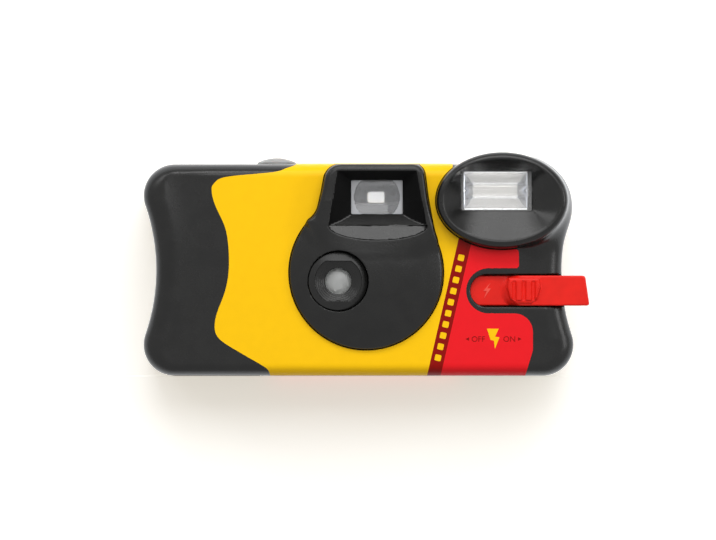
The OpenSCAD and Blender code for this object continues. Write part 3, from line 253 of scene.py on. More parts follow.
def box3_field(x, y, z, low, high, r=CRISP_EDGE):
    """Box between two corners, with edges of radius r."""
    middle = [(a + b) / 2 for a, b in zip(low, high)]
    half = [(b - a) / 2 for a, b in zip(low, high)]
    gap = [np.abs(p - m) - h + r for p, m, h in zip((x, y, z), middle, half)]
    outside = np.sqrt(sum(np.maximum(g, 0) ** 2 for g in gap))
    return outside + np.minimum(shared(*gap), 0) - r


def polygon_field(x, z, points):
    """Closed outline."""
    nearest = np.inf
    inside = False
    for (ax, az), (bx, bz) in zip(points, points[1:] + points[:1]):
        ex, ez = bx - ax, bz - az
        wx, wz = x - ax, z - az
        along = np.clip((wx * ex + wz * ez) / (ex * ex + ez * ez), 0, 1)
        nearest = np.minimum(nearest, (wx - ex * along) ** 2 + (wz - ez * along) ** 2)
        crosses = (az > z) != (bz > z)
        if ez:
            inside = inside ^ (crosses & (wx < wz * ex / ez))
    return np.sqrt(nearest) * np.where(inside, -1, 1)


def curve_points(points, steps):
    """Smooth curve through points."""
    last = len(points) - 1
    spots = [np.array(p, float) for p in points]
    curve = []
    for i in range(last):
        a, b, c, d = spots[max(i - 1, 0)], spots[i], spots[i + 1], spots[min(i + 2, last)]
        for t in np.arange(steps) / steps:
            spot = 2 * b + t * (c - a) + t**2 * (2 * a - 5 * b + 4 * c - d) + t**3 * (3 * b - a - 3 * c + d)
            curve.append(tuple(spot / 2))
    return curve + [tuple(spots[last])]


def arc_points(middle, r, start, end, steps):
    """Points along an arc, angles in degrees."""
    turns = np.radians(np.linspace(start, end, steps + 1))
    return [(middle[0] + r * cos(a), middle[1] + r * sin(a)) for a in turns]


def tangent_middle(first, second, r, side):
    """Middle of the arc of radius r that touches two corner circles from outside."""
    a, b = np.array(first[:2]), np.array(second[:2])
    apart = np.hypot(*(b - a))
    reach_a, reach_b = first[2] + r, second[2] + r
    along = (reach_a**2 - reach_b**2 + apart**2) / (2 * apart)
    across = math.sqrt(reach_a**2 - along**2)
    u = (b - a) / apart
    return a + along * u + side * across * np.array([u[1], -u[0]])


waist_rise = BODY_H / 2 - CORNER_R
waist_in = CORNER_R - WAIST_DEPTH
WAIST_R = (waist_rise**2 + waist_in**2 - CORNER_R**2) / (2 * (CORNER_R - waist_in))
WAISTS = {side: tangent_middle(CORNERS[side, -1], CORNERS[side, 1], WAIST_R, side) for side in (-1, 1)}


def outline_field(x, z):
    """Distance from the body's outline, and how far the outline there faces an end (0 to 1)."""
    distance = np.full(np.broadcast_shapes(np.shape(x), np.shape(z)), np.inf)
    facing = np.zeros_like(distance)
    for (side, level), (cx, cz, r) in CORNERS.items():
        qx = (x - cx) * side
        qz = (z - cz) * level
        own = ((x >= 0) == (side > 0)) & ((z >= BODY_H / 2) == (level > 0))
        reach = np.hypot(qx, qz)
        corner = np.where(qx > 0, reach - r, qz - r)
        turn = np.where(qx > 0, (qx / np.maximum(reach, TINY)) ** 2, 0)
        waist_x, waist_z = WAISTS[side]
        wx, wz = x - waist_x, z - waist_z
        in_waist = (wx * (cz - waist_z) - wz * (cx - waist_x)) * side * level < 0
        span = np.hypot(wx, wz)
        waist = np.maximum(WAIST_R - span, qz - r)
        aside = np.where(WAIST_R - span > qz - r, (wx / np.maximum(span, TINY)) ** 2, 0)
        near_end = in_waist & (qx > -WAIST_REACH)
        distance = np.where(own, np.where(near_end, waist, corner), distance)
        facing = np.where(own, np.where(near_end, aside, turn), facing)
    return distance, facing


def grip_fall(x, y, z):
    """How far the front of the left grip falls back towards its top."""
    beyond = np.clip((GRIP_X - x) / GRIP_REACH, 0, 1)
    rise = np.clip((z - GRIP_Z) / (BODY_H - GRIP_Z), 0, 1)
    return GRIP_FALL * beyond * beyond * (3 - 2 * beyond) * rise * rise * (y < 0)


def body_field(x, y, z):
    """Closed body with its rounded front and back edges."""
    distance, facing = outline_field(x, z)
    r = EDGE_R + (SIDE_R - EDGE_R) * facing
    depth = np.abs(y) - HALF_D + grip_fall(x, y, z)
    u = np.maximum(distance + r, 0)
    v = np.maximum(depth + EDGE_D, 0)
    return ellipse_field(u, v, r, EDGE_D, np.maximum(distance, depth))


TOWER_OUTLINE = (
    curve_points([(DOME[0] - 15.6, DOME[1] + 13.9), (FINDER[0] - 16.6, FINDER[1] - 4.8),
                  (FINDER[0] - 15, FINDER[1] + 1.5)], 4)
    + arc_points((FINDER[0] - 9.8, BODY_H - 4.6), 4.6, 170, 90, 6)
    + arc_points((FINDER[0] + 10, BODY_H - 3), 3, 90, 10, 4)
    + curve_points([(FINDER[0] + 13.8, FINDER[1]), (FINDER[0] + 14.7, FINDER[1] - 5),
                    (DOME[0] + 18.9, DOME[1] + 8.9)], 4)
    + [(DOME[0] + 9, DOME[1] + 8), (DOME[0] - 9, DOME[1] + 8)]
)


def dome_field(x, y, z):
    """Dome, a spherical cap on a low rim."""
    radial = away(x, z, DOME)
    sphere = np.sqrt(radial**2 + (y - DOME_TOP_Y - DOME_SPHERE_R) ** 2) - DOME_SPHERE_R
    cap = crossed(sphere, radial - DOME_R, DOME_EDGE)
    return crossed(cap, y - FRONT_Y - ROOT_DEPTH, CRISP_EDGE)


def tower_field(x, y, z):
    """Viewfinder tower, whose front leans back into the dome."""
    front_y = np.interp(z, TOWER_LEAN_Z, TOWER_LEAN_Y)
    block = crossed(polygon_field(x, z, TOWER_OUTLINE), front_y - y, TOWER_EDGE)
    return crossed(block, y - FRONT_Y - ROOT_DEPTH, CRISP_EDGE)


def crown_side(x, z):
    """Outline that the dome and the tower share."""
    dome_side = away(x, z, DOME) - DOME_R
    return joined(dome_side, polygon_field(x, z, TOWER_OUTLINE), CROWN_FILLET)


def hood_field(x, y, z):
    """Flash hood."""
    back = np.clip((y - FRONT_Y - HOOD_TAPER_START) / HOOD_TAPER_RUN, 0, 1)
    draft = HOOD_DRAFT * np.clip((y - HOOD_Y) / (FRONT_Y - HOOD_Y), 0, 1)
    side = ellipse_field(x - HOOD[0], z - HOOD[1] + HOOD_SINK * back + draft,
                         HOOD_A - HOOD_NARROW_A * back, HOOD_B - HOOD_NARROW_B * back + draft)
    shape = crossed(side, HOOD_Y - y, HOOD_EDGE)
    return crossed(shape, y - FRONT_Y - HOOD_LENGTH, HOOD_BACK_EDGE)


def outer_field(x, y, z):
    """Outside of the closed camera."""
    crown = joined(dome_field(x, y, z), tower_field(x, y, z), TOWER_BLEND)
    crown = crossed(crown, crown_side(x, z), CROWN_EDGE)
    shape = joined(body_field(x, y, z), crown, FILLET)
    to_the_end = np.clip((x - HOOD[0] - HOOD_BLEND_X) / HOOD_BLEND_RUN, 0, 1)
    return joined(shape, hood_field(x, y, z), FILLET + (HOOD_FILLET - FILLET) * to_the_end)


def finder_funnel(x, y, z):
    """Room of the viewfinder's funnel and of the crescent below its mouth."""
    mouth_y = np.interp(z, [MOUTH_LOW, TOWER_FLAT_Z], [SCOOP[1], TOWER_Y])
    depth = np.clip((y - mouth_y) / (FINDER_Y - mouth_y), 0, 1)
    window = [(FINDER[0] + sx * FINDER_W / 2, FINDER[1] + sz * FINDER_H / 2)
              for sx, sz in ((1, -1), (1, 1), (-1, 1), (-1, -1))]
    floor_slope = (window[0][1] - MOUTH_LOW) / (FINDER_Y - SCOOP[1])
    floor = (MOUTH_LOW + (np.minimum(y, FINDER_Y) - SCOOP[1]) * floor_slope - z) / math.hypot(1, floor_slope)
    room = np.maximum(floor, MOUTH_LOW - z)
    corners = [[m + (w - m) * depth for m, w in zip(*pair)] for pair in zip(MOUTH, window)]
    for (ax, az), (bx, bz) in zip(corners, corners[1:]):
        ex, ez = bx - ax, bz - az
        wall = ((x - ax) * ez - (z - az) * ex) / np.hypot(ex, ez)
        room = crossed(room, wall, FUNNEL_EDGE)
    room = crossed(room, y - FRONT_Y - ROOM_DEPTH, CRISP_EDGE)
    across = (x - SCOOP[0]) / SCOOP_HALF_W
    tread_y = SCOOP[1] + SCOOP_TURN * (x - SCOOP[0]) - SCOOP_BOW * (1 - across * across)
    tread = ((y - tread_y) * SCOOP_DROP + (z - MOUTH_LOW) * SCOOP_RUN) / math.hypot(SCOOP_DROP, SCOOP_RUN)
    crescent = ellipse_field(x - SCOOP[0], z - MOUTH_LOW, SCOOP_HALF_W, SCOOP_DROP)
    return np.minimum(room, shared(tread, crescent, z - MOUTH_LOW - OVERLAP))


def hood_funnel(x, y, z):
    """Room of the flash hood's funnel, from the round rim to the window."""
    depth = np.clip((y - HOOD_Y) / (FLASH_Y - HOOD_Y), 0, 1)
    rim = ellipse_field(x - HOOD[0], z - HOOD[1], HOOD_A - HOOD_RIM, HOOD_B - HOOD_RIM)
    window = box_field(x - FLASH[0], z - FLASH[1], FLASH_OPEN_W / 2, FLASH_H / 2, FUNNEL_EDGE)
    return crossed(rim + (window - rim) * depth, y - FLASH_Y, CRISP_EDGE)


def switch_room(x, y, z):
    """Window that the flash switch slides in, open at the right end."""
    slot = np.hypot(np.minimum(x - SLOT_X, 0), z - SWITCH_Z) - SLOT_R
    return shared(slot, y - SWITCH_ROOM_Y)


def inner_room(x, y, z):
    """Hollow inside the covers."""
    radial = away(x, z, DOME)
    dome_room = shared(radial - DOME_ROOM_R, z - DOME[1] - DOME_ROOM_TOP,
                       FRONT_Y - DOME_STEP - y, y - FRONT_Y - ROOM_DEPTH)
    return np.minimum(np.minimum(body_field(x, y, z) + WALL, dome_room), box3_field(x, y, z, *TAIL_ROOM))


def node_box(name):
    """Lowest and highest corner of a node of the frame, in millimetres."""
    return [np.array(corner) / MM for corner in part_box(name)]


def seat_room(name, x, y, z):
    """Room round a node of the frame, with a ledge in front of it."""
    low, high = node_box(name)
    return box3_field(x, y, z, low - (SEAT_GAP, 0, SEAT_GAP), high + SEAT_GAP)


def cover_field(x, y, z):
    """Both covers in one: the outside less the hollow and all openings."""
    shape = outer_field(x, y, z)
    for room in (finder_funnel, hood_funnel, switch_room):
        shape = carved(shape, room(x, y, z), MOUTH_EDGE)
    lens_radial = away(x, z, LENS)
    shape = carved(shape, shared(lens_radial - RING_R, y - FRONT_Y - ROOM_DEPTH), LENS_HOLE_EDGE)
    shape = np.maximum(shape, -inner_room(x, y, z))
    for name in ("flash_window", "viewfinder_lens", "eyepiece_lens", "flash_reflector"):
        shape = np.maximum(shape, -seat_room(name, x, y, z))
    for middle, r, edge in ((BUTTON, BUTTON_R + SLIDE_GAP, HOLE_EDGE), (LIGHT, LIGHT_R, LIGHT_EDGE)):
        round_hole = away(x, y, middle) - r
        shape = carved(shape, shared(round_hole, TOP_HOLE_Z[0] - z, z - TOP_HOLE_Z[1]), edge)
    low, high = node_box("counter_window")
    counter_hole = (low + (COUNTER_LEDGE, COUNTER_LEDGE, -1), high + (-COUNTER_LEDGE, -COUNTER_LEDGE, 2))
    shape = np.maximum(shape, -box3_field(x, y, z, *counter_hole))
    for hole, edge in ((WHEEL_SLOT, HOLE_EDGE), (EYEPIECE_HOLE, HOLE_EDGE), (DOOR_HOLE, DOOR_EDGE)):
        shape = carved(shape, box3_field(x, y, z, *hole), edge)
    return shape


def front_field(x, y, z):
    """Front cover, up to the parting line."""
    return crossed(cover_field(x, y, z), y - PARTING_Y + PARTING_GAP, PARTING_EDGE)


def rear_field(x, y, z):
    """Rear cover, from the parting line back."""
    return crossed(cover_field(x, y, z), PARTING_Y + PARTING_GAP - y, PARTING_EDGE)


def gradient(field, points, reach):
    """Slope of a field at points."""
    steps = reach * np.eye(3)
    rises = [field(*(points + step).T) - field(*(points - step).T) for step in steps]
    return np.stack(rises, 1) / (2 * reach)


def grid_axis(start, *stops):
    """Grid lines from a start through stops of (end, spacing)."""
    lines = [start]
    for end, spacing in stops:
        count = math.ceil((end - lines[-1]) / spacing)
        lines += list(np.linspace(lines[-1], end, count + 1)[1:])
    return np.array(lines)


def skin_points(field, axes):
    """Corner points and quads of the skin where a field crosses zero on a grid."""
    value = field(axes[0][:, None, None], axes[1][None, :, None], axes[2][None, None, :])
    value = np.ascontiguousarray(np.broadcast_to(value, [len(a) for a in axes]))
    inside = value < 0
    cells = [n - 1 for n in inside.shape]
    corners = [inside[i:i + cells[0], j:j + cells[1], k:k + cells[2]] for i, j, k in np.ndindex(2, 2, 2)]
    active = np.argwhere(np.any(corners, 0) & ~np.all(corners, 0))
    total = np.zeros((len(active), 3))
    hits = np.zeros((len(active), 1))
    for axis in range(3):
        others = [k for k in range(3) if k != axis]
        for steps in np.ndindex(2, 2):
            start = active.copy()
            start[:, others] += steps
            end = start.copy()
            end[:, axis] += 1
            a, b = value[tuple(start.T)], value[tuple(end.T)]
            crossing = (a < 0) != (b < 0)
            spot = start.astype(float)
            spot[:, axis] += np.where(crossing, a / np.where(crossing, a - b, 1), 0)
            total += np.where(crossing[:, None], spot, 0)
            hits += crossing[:, None]
    place = total / hits
    points = np.stack([np.interp(place[:, k], np.arange(len(axes[k])), axes[k]) for k in range(3)], 1)
    index = np.full(cells, -1)
    index[tuple(active.T)] = np.arange(len(active))
    quads = []
    for axis in range(3):
        across = [(axis + 1) % 3, (axis + 2) % 3]
        first = inside.take(range(cells[axis]), axis)
        second = inside.take(range(1, cells[axis] + 1), axis)
        spots = np.argwhere(first != second)
        within = (spots[:, across] > 0) & (spots[:, across] < np.array(cells)[across])
        spots = spots[within.all(1)]
        corners = []
        for steps in ((1, 1), (0, 1), (0, 0), (1, 0)):
            at = spots.copy()
            at[:, across] -= steps
            corners.append(index[tuple(at.T)])
        quad = np.stack(corners, 1)
        leaving = first[tuple(spots.T)]
        quads.append(np.where(leaving[:, None], quad, quad[:, ::-1]))
    return points, np.concatenate(quads)


def link(obj):
    """Puts an object into the scene."""
    bpy.context.scene.collection.objects.link(obj)
    return obj


def mesh_object(name, points, faces, smooth=True):
    """Object from points in millimetres."""
    mesh = bpy.data.meshes.new(name)
    mesh.from_pydata((np.asarray(points, float) * MM).tolist(), [], [list(map(int, f)) for f in faces])
    mesh.polygons.foreach_set("use_smooth", [smooth] * len(mesh.polygons))
    mesh.update()
    return link(bpy.data.objects.new(name, mesh))


SETTLE_ROUNDS = 3
SETTLE_STEP = 0.02
SHADE_STEP = 0.1
LEAST_SLOPE = 0.2


def moulded(name, field, axes, settle_reach=0.25):
    """Closed mesh of a field, settled on its surface and shaded by its slope."""
    points, quads = skin_points(field, axes)
    for _ in range(SETTLE_ROUNDS):
        slope = gradient(field, points, SETTLE_STEP)
        size = np.maximum((slope**2).sum(1, keepdims=True), LEAST_SLOPE)
        move = field(*points.T)[:, None] * slope / size
        points -= np.clip(move, -settle_reach, settle_reach)
    obj = mesh_object(name, points, quads)
    slope = gradient(field, points, SHADE_STEP)
    normals = slope / np.maximum(np.linalg.norm(slope, axis=1, keepdims=True), 1e-6)
    obj.data.normals_split_custom_set_from_vertices(normals.tolist())
    return obj


def fill_inputs(tree, node, inputs):
    """Sets each named input of a node to a value, or links it to another node's output."""
    for socket, value in inputs.items():
        if isinstance(value, bpy.types.NodeSocket):
            tree.links.new(value, node.inputs[socket])
        else:
            node.inputs[socket].default_value = value


def add_node(tree, kind, inputs=()):
    """Outputs of a new shader node with its inputs filled."""
    node = tree.nodes.new(kind)
    fill_inputs(tree, node, dict(inputs))
    return node.outputs


def noise(tree, scale, detail):
    """Noise over object coordinates."""
    coords = add_node(tree, "ShaderNodeTexCoord")["Object"]
    return add_node(tree, "ShaderNodeTexNoise", {"Vector": coords, "Scale": scale, "Detail": detail})["Fac"]


def between(tree, share, low, high):
    """Value from low to high, by a share from 0 to 1."""
    return add_node(tree, "ShaderNodeMapRange", {"Value": share, "To Min": low, "To Max": high})["Result"]


def new_material(name):
    """Node material and its tree."""
    material = bpy.data.materials.new(name)
    material.use_nodes = True
    return material, material.node_tree


SOFT_GRAIN = 12
RAMP_PLACES = (0.3, 0.7)
ROUGH_SPREAD = 0.06
RIPPLE_SCALE = 260
RIPPLE_ROUGH = 0.03


def finish_material(name, colour, rough, spread, grain, relief, metal=0.0, specular=0.5, others=()):
    """Opaque finish whose colour and roughness vary a little, with a fine relief."""
    material, tree = new_material(name)
    fine = noise(tree, grain, 2)
    ramp = tree.nodes.new("ShaderNodeValToRGB")
    fill_inputs(tree, ramp, {"Fac": noise(tree, grain / SOFT_GRAIN, 3)})
    colour = np.array(colour)
    tones = (colour * (1 - spread), np.minimum(colour * (1 + spread), 1))
    for element, place, tone in zip(ramp.color_ramp.elements, RAMP_PLACES, tones):
        element.position = place
        element.color = (*tone, 1)
    bump = add_node(tree, "ShaderNodeBump", {"Distance": relief * MM, "Strength": 1.0, "Height": fine})
    fill_inputs(tree, tree.nodes["Principled BSDF"], {
        "Base Color": ramp.outputs["Color"],
        "Roughness": between(tree, fine, rough - ROUGH_SPREAD, rough + ROUGH_SPREAD),
        "Normal": bump["Normal"],
        "Metallic": metal,
        "Specular IOR Level": specular,
        **dict(others),
    })
    return material


def glass_material(name, colour, ior, rough, clear):
    """Clear finish whose roughness varies a little."""
    material, tree = new_material(name)
    ripple = noise(tree, RIPPLE_SCALE, 1)
    fill_inputs(tree, tree.nodes["Principled BSDF"], {
        "Base Color": (*colour, 1),
        "Roughness": between(tree, ripple, rough, rough + RIPPLE_ROUGH),
        "IOR": ior,
        "Transmission Weight": clear,
    })
    return material


def tint(*screen):
    """Colour given in screen values from 0 to 255, as the shader wants it."""
    shares = [value / 255 for value in screen]
    return tuple(s / 12.92 if s < 0.04045 else ((s + 0.055) / 1.055) ** 2.4 for s in shares)


# Opaque finishes: colour, roughness, spread of the colour, grain, relief, metal, specular level and others
OPAQUE = {
    "black_plastic": ((0.008, 0.008, 0.0076), 0.24, 0.25, 2600, 0.022, 0.0, 0.3),
    # Darker, duller black for the viewfinder funnel's walls and ceiling: painted shade
    "black_painted_shade": ((0.003, 0.003, 0.003), 0.75, 0.2, 2600, 0.02, 0.0, 0.08),
    "yellow_print": (tint(254, 199, 11), 0.34, 0.015, 4200, 0.003, 0.0, 0.12),
    "red_print": (tint(236, 28, 36), 0.34, 0.015, 4200, 0.003, 0.0, 0.12),
    "dark_print": (tint(140, 8, 2), 0.34, 0.05, 4200, 0.003, 0.0, 0.12),
    "frame_plastic": ((0.014, 0.014, 0.014), 0.5, 0.2, 2400, 0.01),
    "reflector_metal": ((0.98, 0.98, 0.98), 0.2, 0.02, 900, 0.002, 0.8),
    # Darker, bluer copy of the reflector's metal for the trough's end facets: painted shade
    "reflector_ends_painted_shade": ((0.62, 0.64, 0.68), 0.14, 0.02, 900, 0.002, 0.95),
    "board_laminate": (tint(30, 92, 52), 0.4, 0.15, 1800, 0.01),
    "capacitor_sleeve": (tint(26, 28, 38), 0.35, 0.1, 1500, 0.006),
    "copper_winding": ((0.62, 0.23, 0.11), 0.35, 0.2, 5000, 0.02, 1.0),
    "transformer_tape": (tint(214, 176, 62), 0.45, 0.12, 1400, 0.01),
    "spring_brass": ((0.72, 0.5, 0.2), 0.3, 0.1, 2600, 0.004, 1.0),
    "plated_steel": ((0.68, 0.68, 0.66), 0.3, 0.08, 2600, 0.004, 1.0),
    "spring_steel": ((0.5, 0.51, 0.53), 0.28, 0.1, 2600, 0.004, 1.0),
    "red_plastic": (tint(226, 32, 22), 0.36, 0.06, 2600, 0.006, 0.0, 0.2),
    # Lighter red for the raised bolt on the slide: painted highlight
    "red_painted_highlight": (tint(236, 74, 60), 0.3, 0.06, 2600, 0.004),
    # Mid grey, darker than the pale button plastic: painted shade that offsets the strong light from above
    "button_plastic": (tint(124, 124, 122), 0.45, 0.04, 2200, 0.006, 0.0, 0.5,
                       {"Subsurface Weight": 0.2, "Subsurface Scale": 0.002}),
    "window_plastic": ((1.0, 1.0, 1.0), 0.1, 0.0, 900, 0.001, 0.0, 0.5, {"Alpha": 0.1}),
    "white_plastic": (tint(226, 225, 219), 0.42, 0.05, 2200, 0.006),
    "blackened_sheet": (tint(168, 168, 166), 0.5, 0.1, 3000, 0.004),
    "cassette_paint": (tint(70, 72, 78), 0.3, 0.1, 1600, 0.006),
    "film_base": (tint(96, 66, 48), 0.25, 0.1, 1200, 0.003),
    "cell_sleeve": (tint(38, 60, 112), 0.3, 0.08, 1600, 0.004),
}
# Clear finishes: colour, refraction, roughness and clearness
CLEAR = {
    "clear_plastic": ((0.97, 0.98, 0.98), 1.49, 0.08, 1.0),
    "finder_plastic": ((0.9, 0.91, 0.93), 1.49, 0.07, 0.88),
    "finder_rim": ((0.74, 0.75, 0.78), 1.49, 0.2, 0.45),
    "lens_plastic": ((0.72, 0.73, 0.72), 1.49, 0.2, 0.6),
    "lamp_glass": ((0.98, 0.97, 0.94), 1.47, 0.03, 0.8),
    "orange_lamp": (tint(252, 150, 40), 1.49, 0.1, 0.7),
}
finishes = {name: finish_material(name, *values) for name, values in OPAQUE.items()}
finishes.update({name: glass_material(name, *values) for name, values in CLEAR.items()})
finishes["label_print"] = finishes["yellow_print"]
for part in frame["record"]["subparts"]:
    for holder in nodes[part["node"]].material_slots:
        holder.material = finishes[part["material_slot"]]


def ready(obj, slot, *replaced, looks=(), body="camera_body"):
    """Hangs a finished piece on its body, with its finishes and the nodes that it stands for."""
    for look in looks or [slot]:
        obj.data.materials.append(finishes[look])
    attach(obj, body)
    if replaced:
        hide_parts(*replaced)


# Covers, on grids that are finest where the front shows most detail
FINE = 0.4
MEDIUM = 0.6
COARSE = 0.9
front = moulded("front_shell", front_field, (
    grid_axis(-59.5, (-52, 0.7), (-20, 1.05), (-10, 0.6), (20, 0.34), (24, 0.6), (59.5, 0.56)),
    grid_axis(-22.6, (-12, FINE), (4.2, 1.3), (5.6, 0.35)),
    grid_axis(-0.8, (6, MEDIUM), (17, 1.05), (36, 0.6), (41.2, 0.25), (61.4, FINE)),
))
rear = moulded("rear_shell", rear_field, (
    grid_axis(-59.5, (-52, MEDIUM), (52, COARSE), (59.5, MEDIUM)),
    grid_axis(4.5, (5.9, 0.35), (17, MEDIUM)),
    grid_axis(-0.8, (6, MEDIUM), (44, COARSE), (58.4, MEDIUM)),
))
# The front cover's second finish is the painted shade on the funnel's walls and ceiling
ready(front, "black_plastic", "front_cover", looks=["black_plastic", "black_painted_shade"])
ready(rear, "black_plastic", "rear_cover")

# Painted shade: the viewfinder funnel's walls and ceiling take a darker, duller black that stands in for the
# shade falling in the funnel
NEAR_FUNNEL = 0.3
FACING_ASIDE = 0.3
FACING_DOWN = -0.2
PAINTED_SHADE_LOW = 41.2
front_faces = front.data.polygons
centres = np.array([face.center for face in front_faces]).T / MM
facings = np.array([face.normal for face in front_faces]).T
in_funnel = np.abs(finder_funnel(*centres)) < np.minimum(NEAR_FUNNEL, -outer_field(*centres))
on_walls = (np.abs(facings[0]) > FACING_ASIDE) | (facings[2] < FACING_DOWN)
is_painted_shade = in_funnel & on_walls & (centres[2] > PAINTED_SHADE_LOW)
front_faces.foreach_set("material_index", is_painted_shade.astype(int))

# Label: a printed sheet wrapped over the front, the top and the back
LABEL_OUT = 0.2
LABEL_IN = 0.03
LABEL_GAP = 0.3
LABEL_LEFT = -17.0
LABEL_RIGHT = 25.6
LABEL_COLUMNS = np.linspace(-41.6, 48.8, 160)
BORDER_X = 18.6
BORDER_LEAN = radians(13)
STRIPE_W = 3.6
BACK_BAND_Z = 12.0
NOTCH = (35.4, 23.15)
NOTCH_R = 6.15
BUTTON_CUT_R = 6.05
LIGHT_CUT_R = 2.0
LABEL_FRONT = (
    curve_points([(-23.8, -1), (-24.3, 1.1), (-25.6, 2.5), (-31.5, 5.95), (-36.3, 8.85), (-38.4, 10.8),
                  (-39.1, 13.2), (-38.5, 17), (-36, 24), (-35.2, 31), (-36, 39.5), (-39, 46.5),
                  (-39.9, 50.3), (-39.3, 52.3), (-36, 54.1), (-23.2, 55.4), (-19.6, 56.5),
                  (LABEL_LEFT, 57.5), (LABEL_LEFT + 0.3, 58.6)], 5)
    + [(LABEL_RIGHT, 58.6), (LABEL_RIGHT, 47.8), (33, 36)]
    + arc_points((42.7, 33.6), 0.9, 90, 0, 4)
    + arc_points((43.0, 29.9), 0.6, 0, -90, 4)
    + [(36.4, 29.3), (36.4, 17.0)]
    + arc_points((42.4, 12.0), 5, 90, 0, 8)
    + [(47.4, 7), (45, -1)]
)
LABEL_BACK = [(LABEL_LEFT, 59), (LABEL_LEFT, 56), (-24, 50), (-24, -1), (28, -1), (28, 52),
              (LABEL_RIGHT, 56), (LABEL_RIGHT, 59)]


def wrap_section():
    """Section of the wrapped label: places and outward directions in Y and Z, and the rows of the top."""
    places, outward = [], []

    def edge(middle_y, middle_z, start, end, steps):
        for turn in np.radians(np.linspace(start, end, steps + 1)):
            places.append((middle_y + EDGE_D * cos(turn), middle_z + EDGE_R * sin(turn)))
            slope = np.array([cos(turn) / EDGE_D, sin(turn) / EDGE_R])
            outward.append(slope / np.hypot(*slope))

    def run(y0, z0, y1, z1, steps, direction):
        for k in np.linspace(0, 1, steps + 1)[1:-1]:
            places.append((y0 + (y1 - y0) * k, z0 + (z1 - z0) * k))
            outward.append(np.array(direction, float))

    flat_y, low_z, high_z = HALF_D - EDGE_D, EDGE_R, BODY_H - EDGE_R
    edge(-flat_y, low_z, 246, 180, 7)
    run(-HALF_D, low_z, -HALF_D, high_z, 96, (-1, 0))
    edge(-flat_y, high_z, 180, 90, 10)
    top_start = len(places) - 1
    run(-flat_y, BODY_H, flat_y, BODY_H, 30, (0, 1))
    top_end = len(places)
    edge(flat_y, high_z, 90, 0, 10)
    run(HALF_D, high_z, HALF_D, low_z, 48, (1, 0))
    edge(flat_y, low_z, 0, -66, 7)
    return np.array(places), np.array(outward), top_start, top_end


SECTION, SECTION_OUT, TOP_START, TOP_END = wrap_section()


def on_section(row, lift):
    """Y and Z of the wrapped sheet at a row of the section, lifted off the cover."""
    rows = np.arange(len(SECTION))
    lifted = SECTION + SECTION_OUT * lift
    return np.interp(row, rows, lifted[:, 0]), np.interp(row, rows, lifted[:, 1])


def label_field(x, row):
    """Label, over its width and the row of its section."""
    y, z = on_section(row, LABEL_OUT)
    hood_side = ellipse_field(x - HOOD[0], z - HOOD[1] + HOOD_DRAFT, HOOD_A, HOOD_B + HOOD_DRAFT)
    tower_top = box_field(x - 5.3, z - 60, 11.1, 5.6, 0.5)
    forms = np.minimum(np.minimum(crown_side(x, z), hood_side), tower_top)
    ahead = shared(polygon_field(x, z, LABEL_FRONT), LABEL_GAP - forms,
                   NOTCH_R - away(x, z, NOTCH))
    low, high = node_box("counter_window")
    middle, half = (low + high) / 2, (high - low) / 2 + LABEL_GAP
    above = shared(LABEL_LEFT - x, x - LABEL_RIGHT,
                   BUTTON_CUT_R - away(x, y, BUTTON),
                   LIGHT_CUT_R - away(x, y, LIGHT),
                   -box_field(x - middle[0], y - middle[1], half[0], half[1], 0.4))
    eyepiece = box_field(x - 5, z - 49.5, 5.5, 4, 1)
    behind = shared(polygon_field(x, z, LABEL_BACK), -eyepiece)
    return np.where(row <= TOP_START, ahead, np.where(row < TOP_END, above, behind))


def border_field(x, row, start):
    """Left of the slanted border on the front, and above the band on the back."""
    z = on_section(row, LABEL_OUT)[1]
    ahead = (x - BORDER_X - z * math.tan(BORDER_LEAN)) * cos(BORDER_LEAN) - start
    behind = BACK_BAND_Z - start - z
    return np.where(row <= TOP_START, ahead, np.where(row < TOP_END, -1.0, behind))


def parted(polygons, field):
    """Polygons parted along a field's zero line: those inside it, and those outside."""
    value = field(*np.array([p for polygon in polygons for p in polygon]).T)
    sides = ([], [])
    start = 0
    for polygon in polygons:
        count = len(polygon)
        v = value[start:start + count]
        start += count
        pieces = ([], [])
        for i in range(count):
            j = (i + 1) % count
            pieces[int(v[i] > 0)].append(polygon[i])
            if (v[i] > 0) != (v[j] > 0):
                k = v[i] / (v[i] - v[j])
                cross = tuple(round(a + (b - a) * k, 6) for a, b in zip(polygon[i], polygon[j]))
                for piece in pieces:
                    piece.append(cross)
        for side, piece in zip(sides, pieces):
            if len(set(piece)) > 2:
                side.append(piece)
    return sides


def wrapped_sheet(name, prints):
    """Closed thin sheet over the section, from lists of (x, row) polygons, one list for each print."""
    index = {}
    faces, kinds = [], []
    for kind, polygons in enumerate(prints):
        for polygon in polygons:
            spots = [(round(x, 4), round(row, 4)) for x, row in polygon]
            corners = list(dict.fromkeys(index.setdefault(spot, len(index)) for spot in spots))
            if len(corners) > 2:
                faces.append(corners)
                kinds.append(kind)
    spots = np.array(list(index))
    layers = [np.stack([spots[:, 0], *on_section(spots[:, 1], lift)], 1) for lift in (LABEL_OUT, LABEL_IN)]
    count = len(spots)
    sides = {(f[i], f[(i + 1) % len(f)]) for f in faces for i in range(len(f))}
    rim = [(b, a, a + count, b + count) for a, b in sides if (b, a) not in sides]
    under = [[i + count for i in reversed(f)] for f in faces]
    obj = mesh_object(name, np.concatenate(layers), faces + under + sorted(rim))
    obj.data.set_sharp_from_angle(angle=radians(40))
    return obj, kinds + kinds + [0] * len(rim)


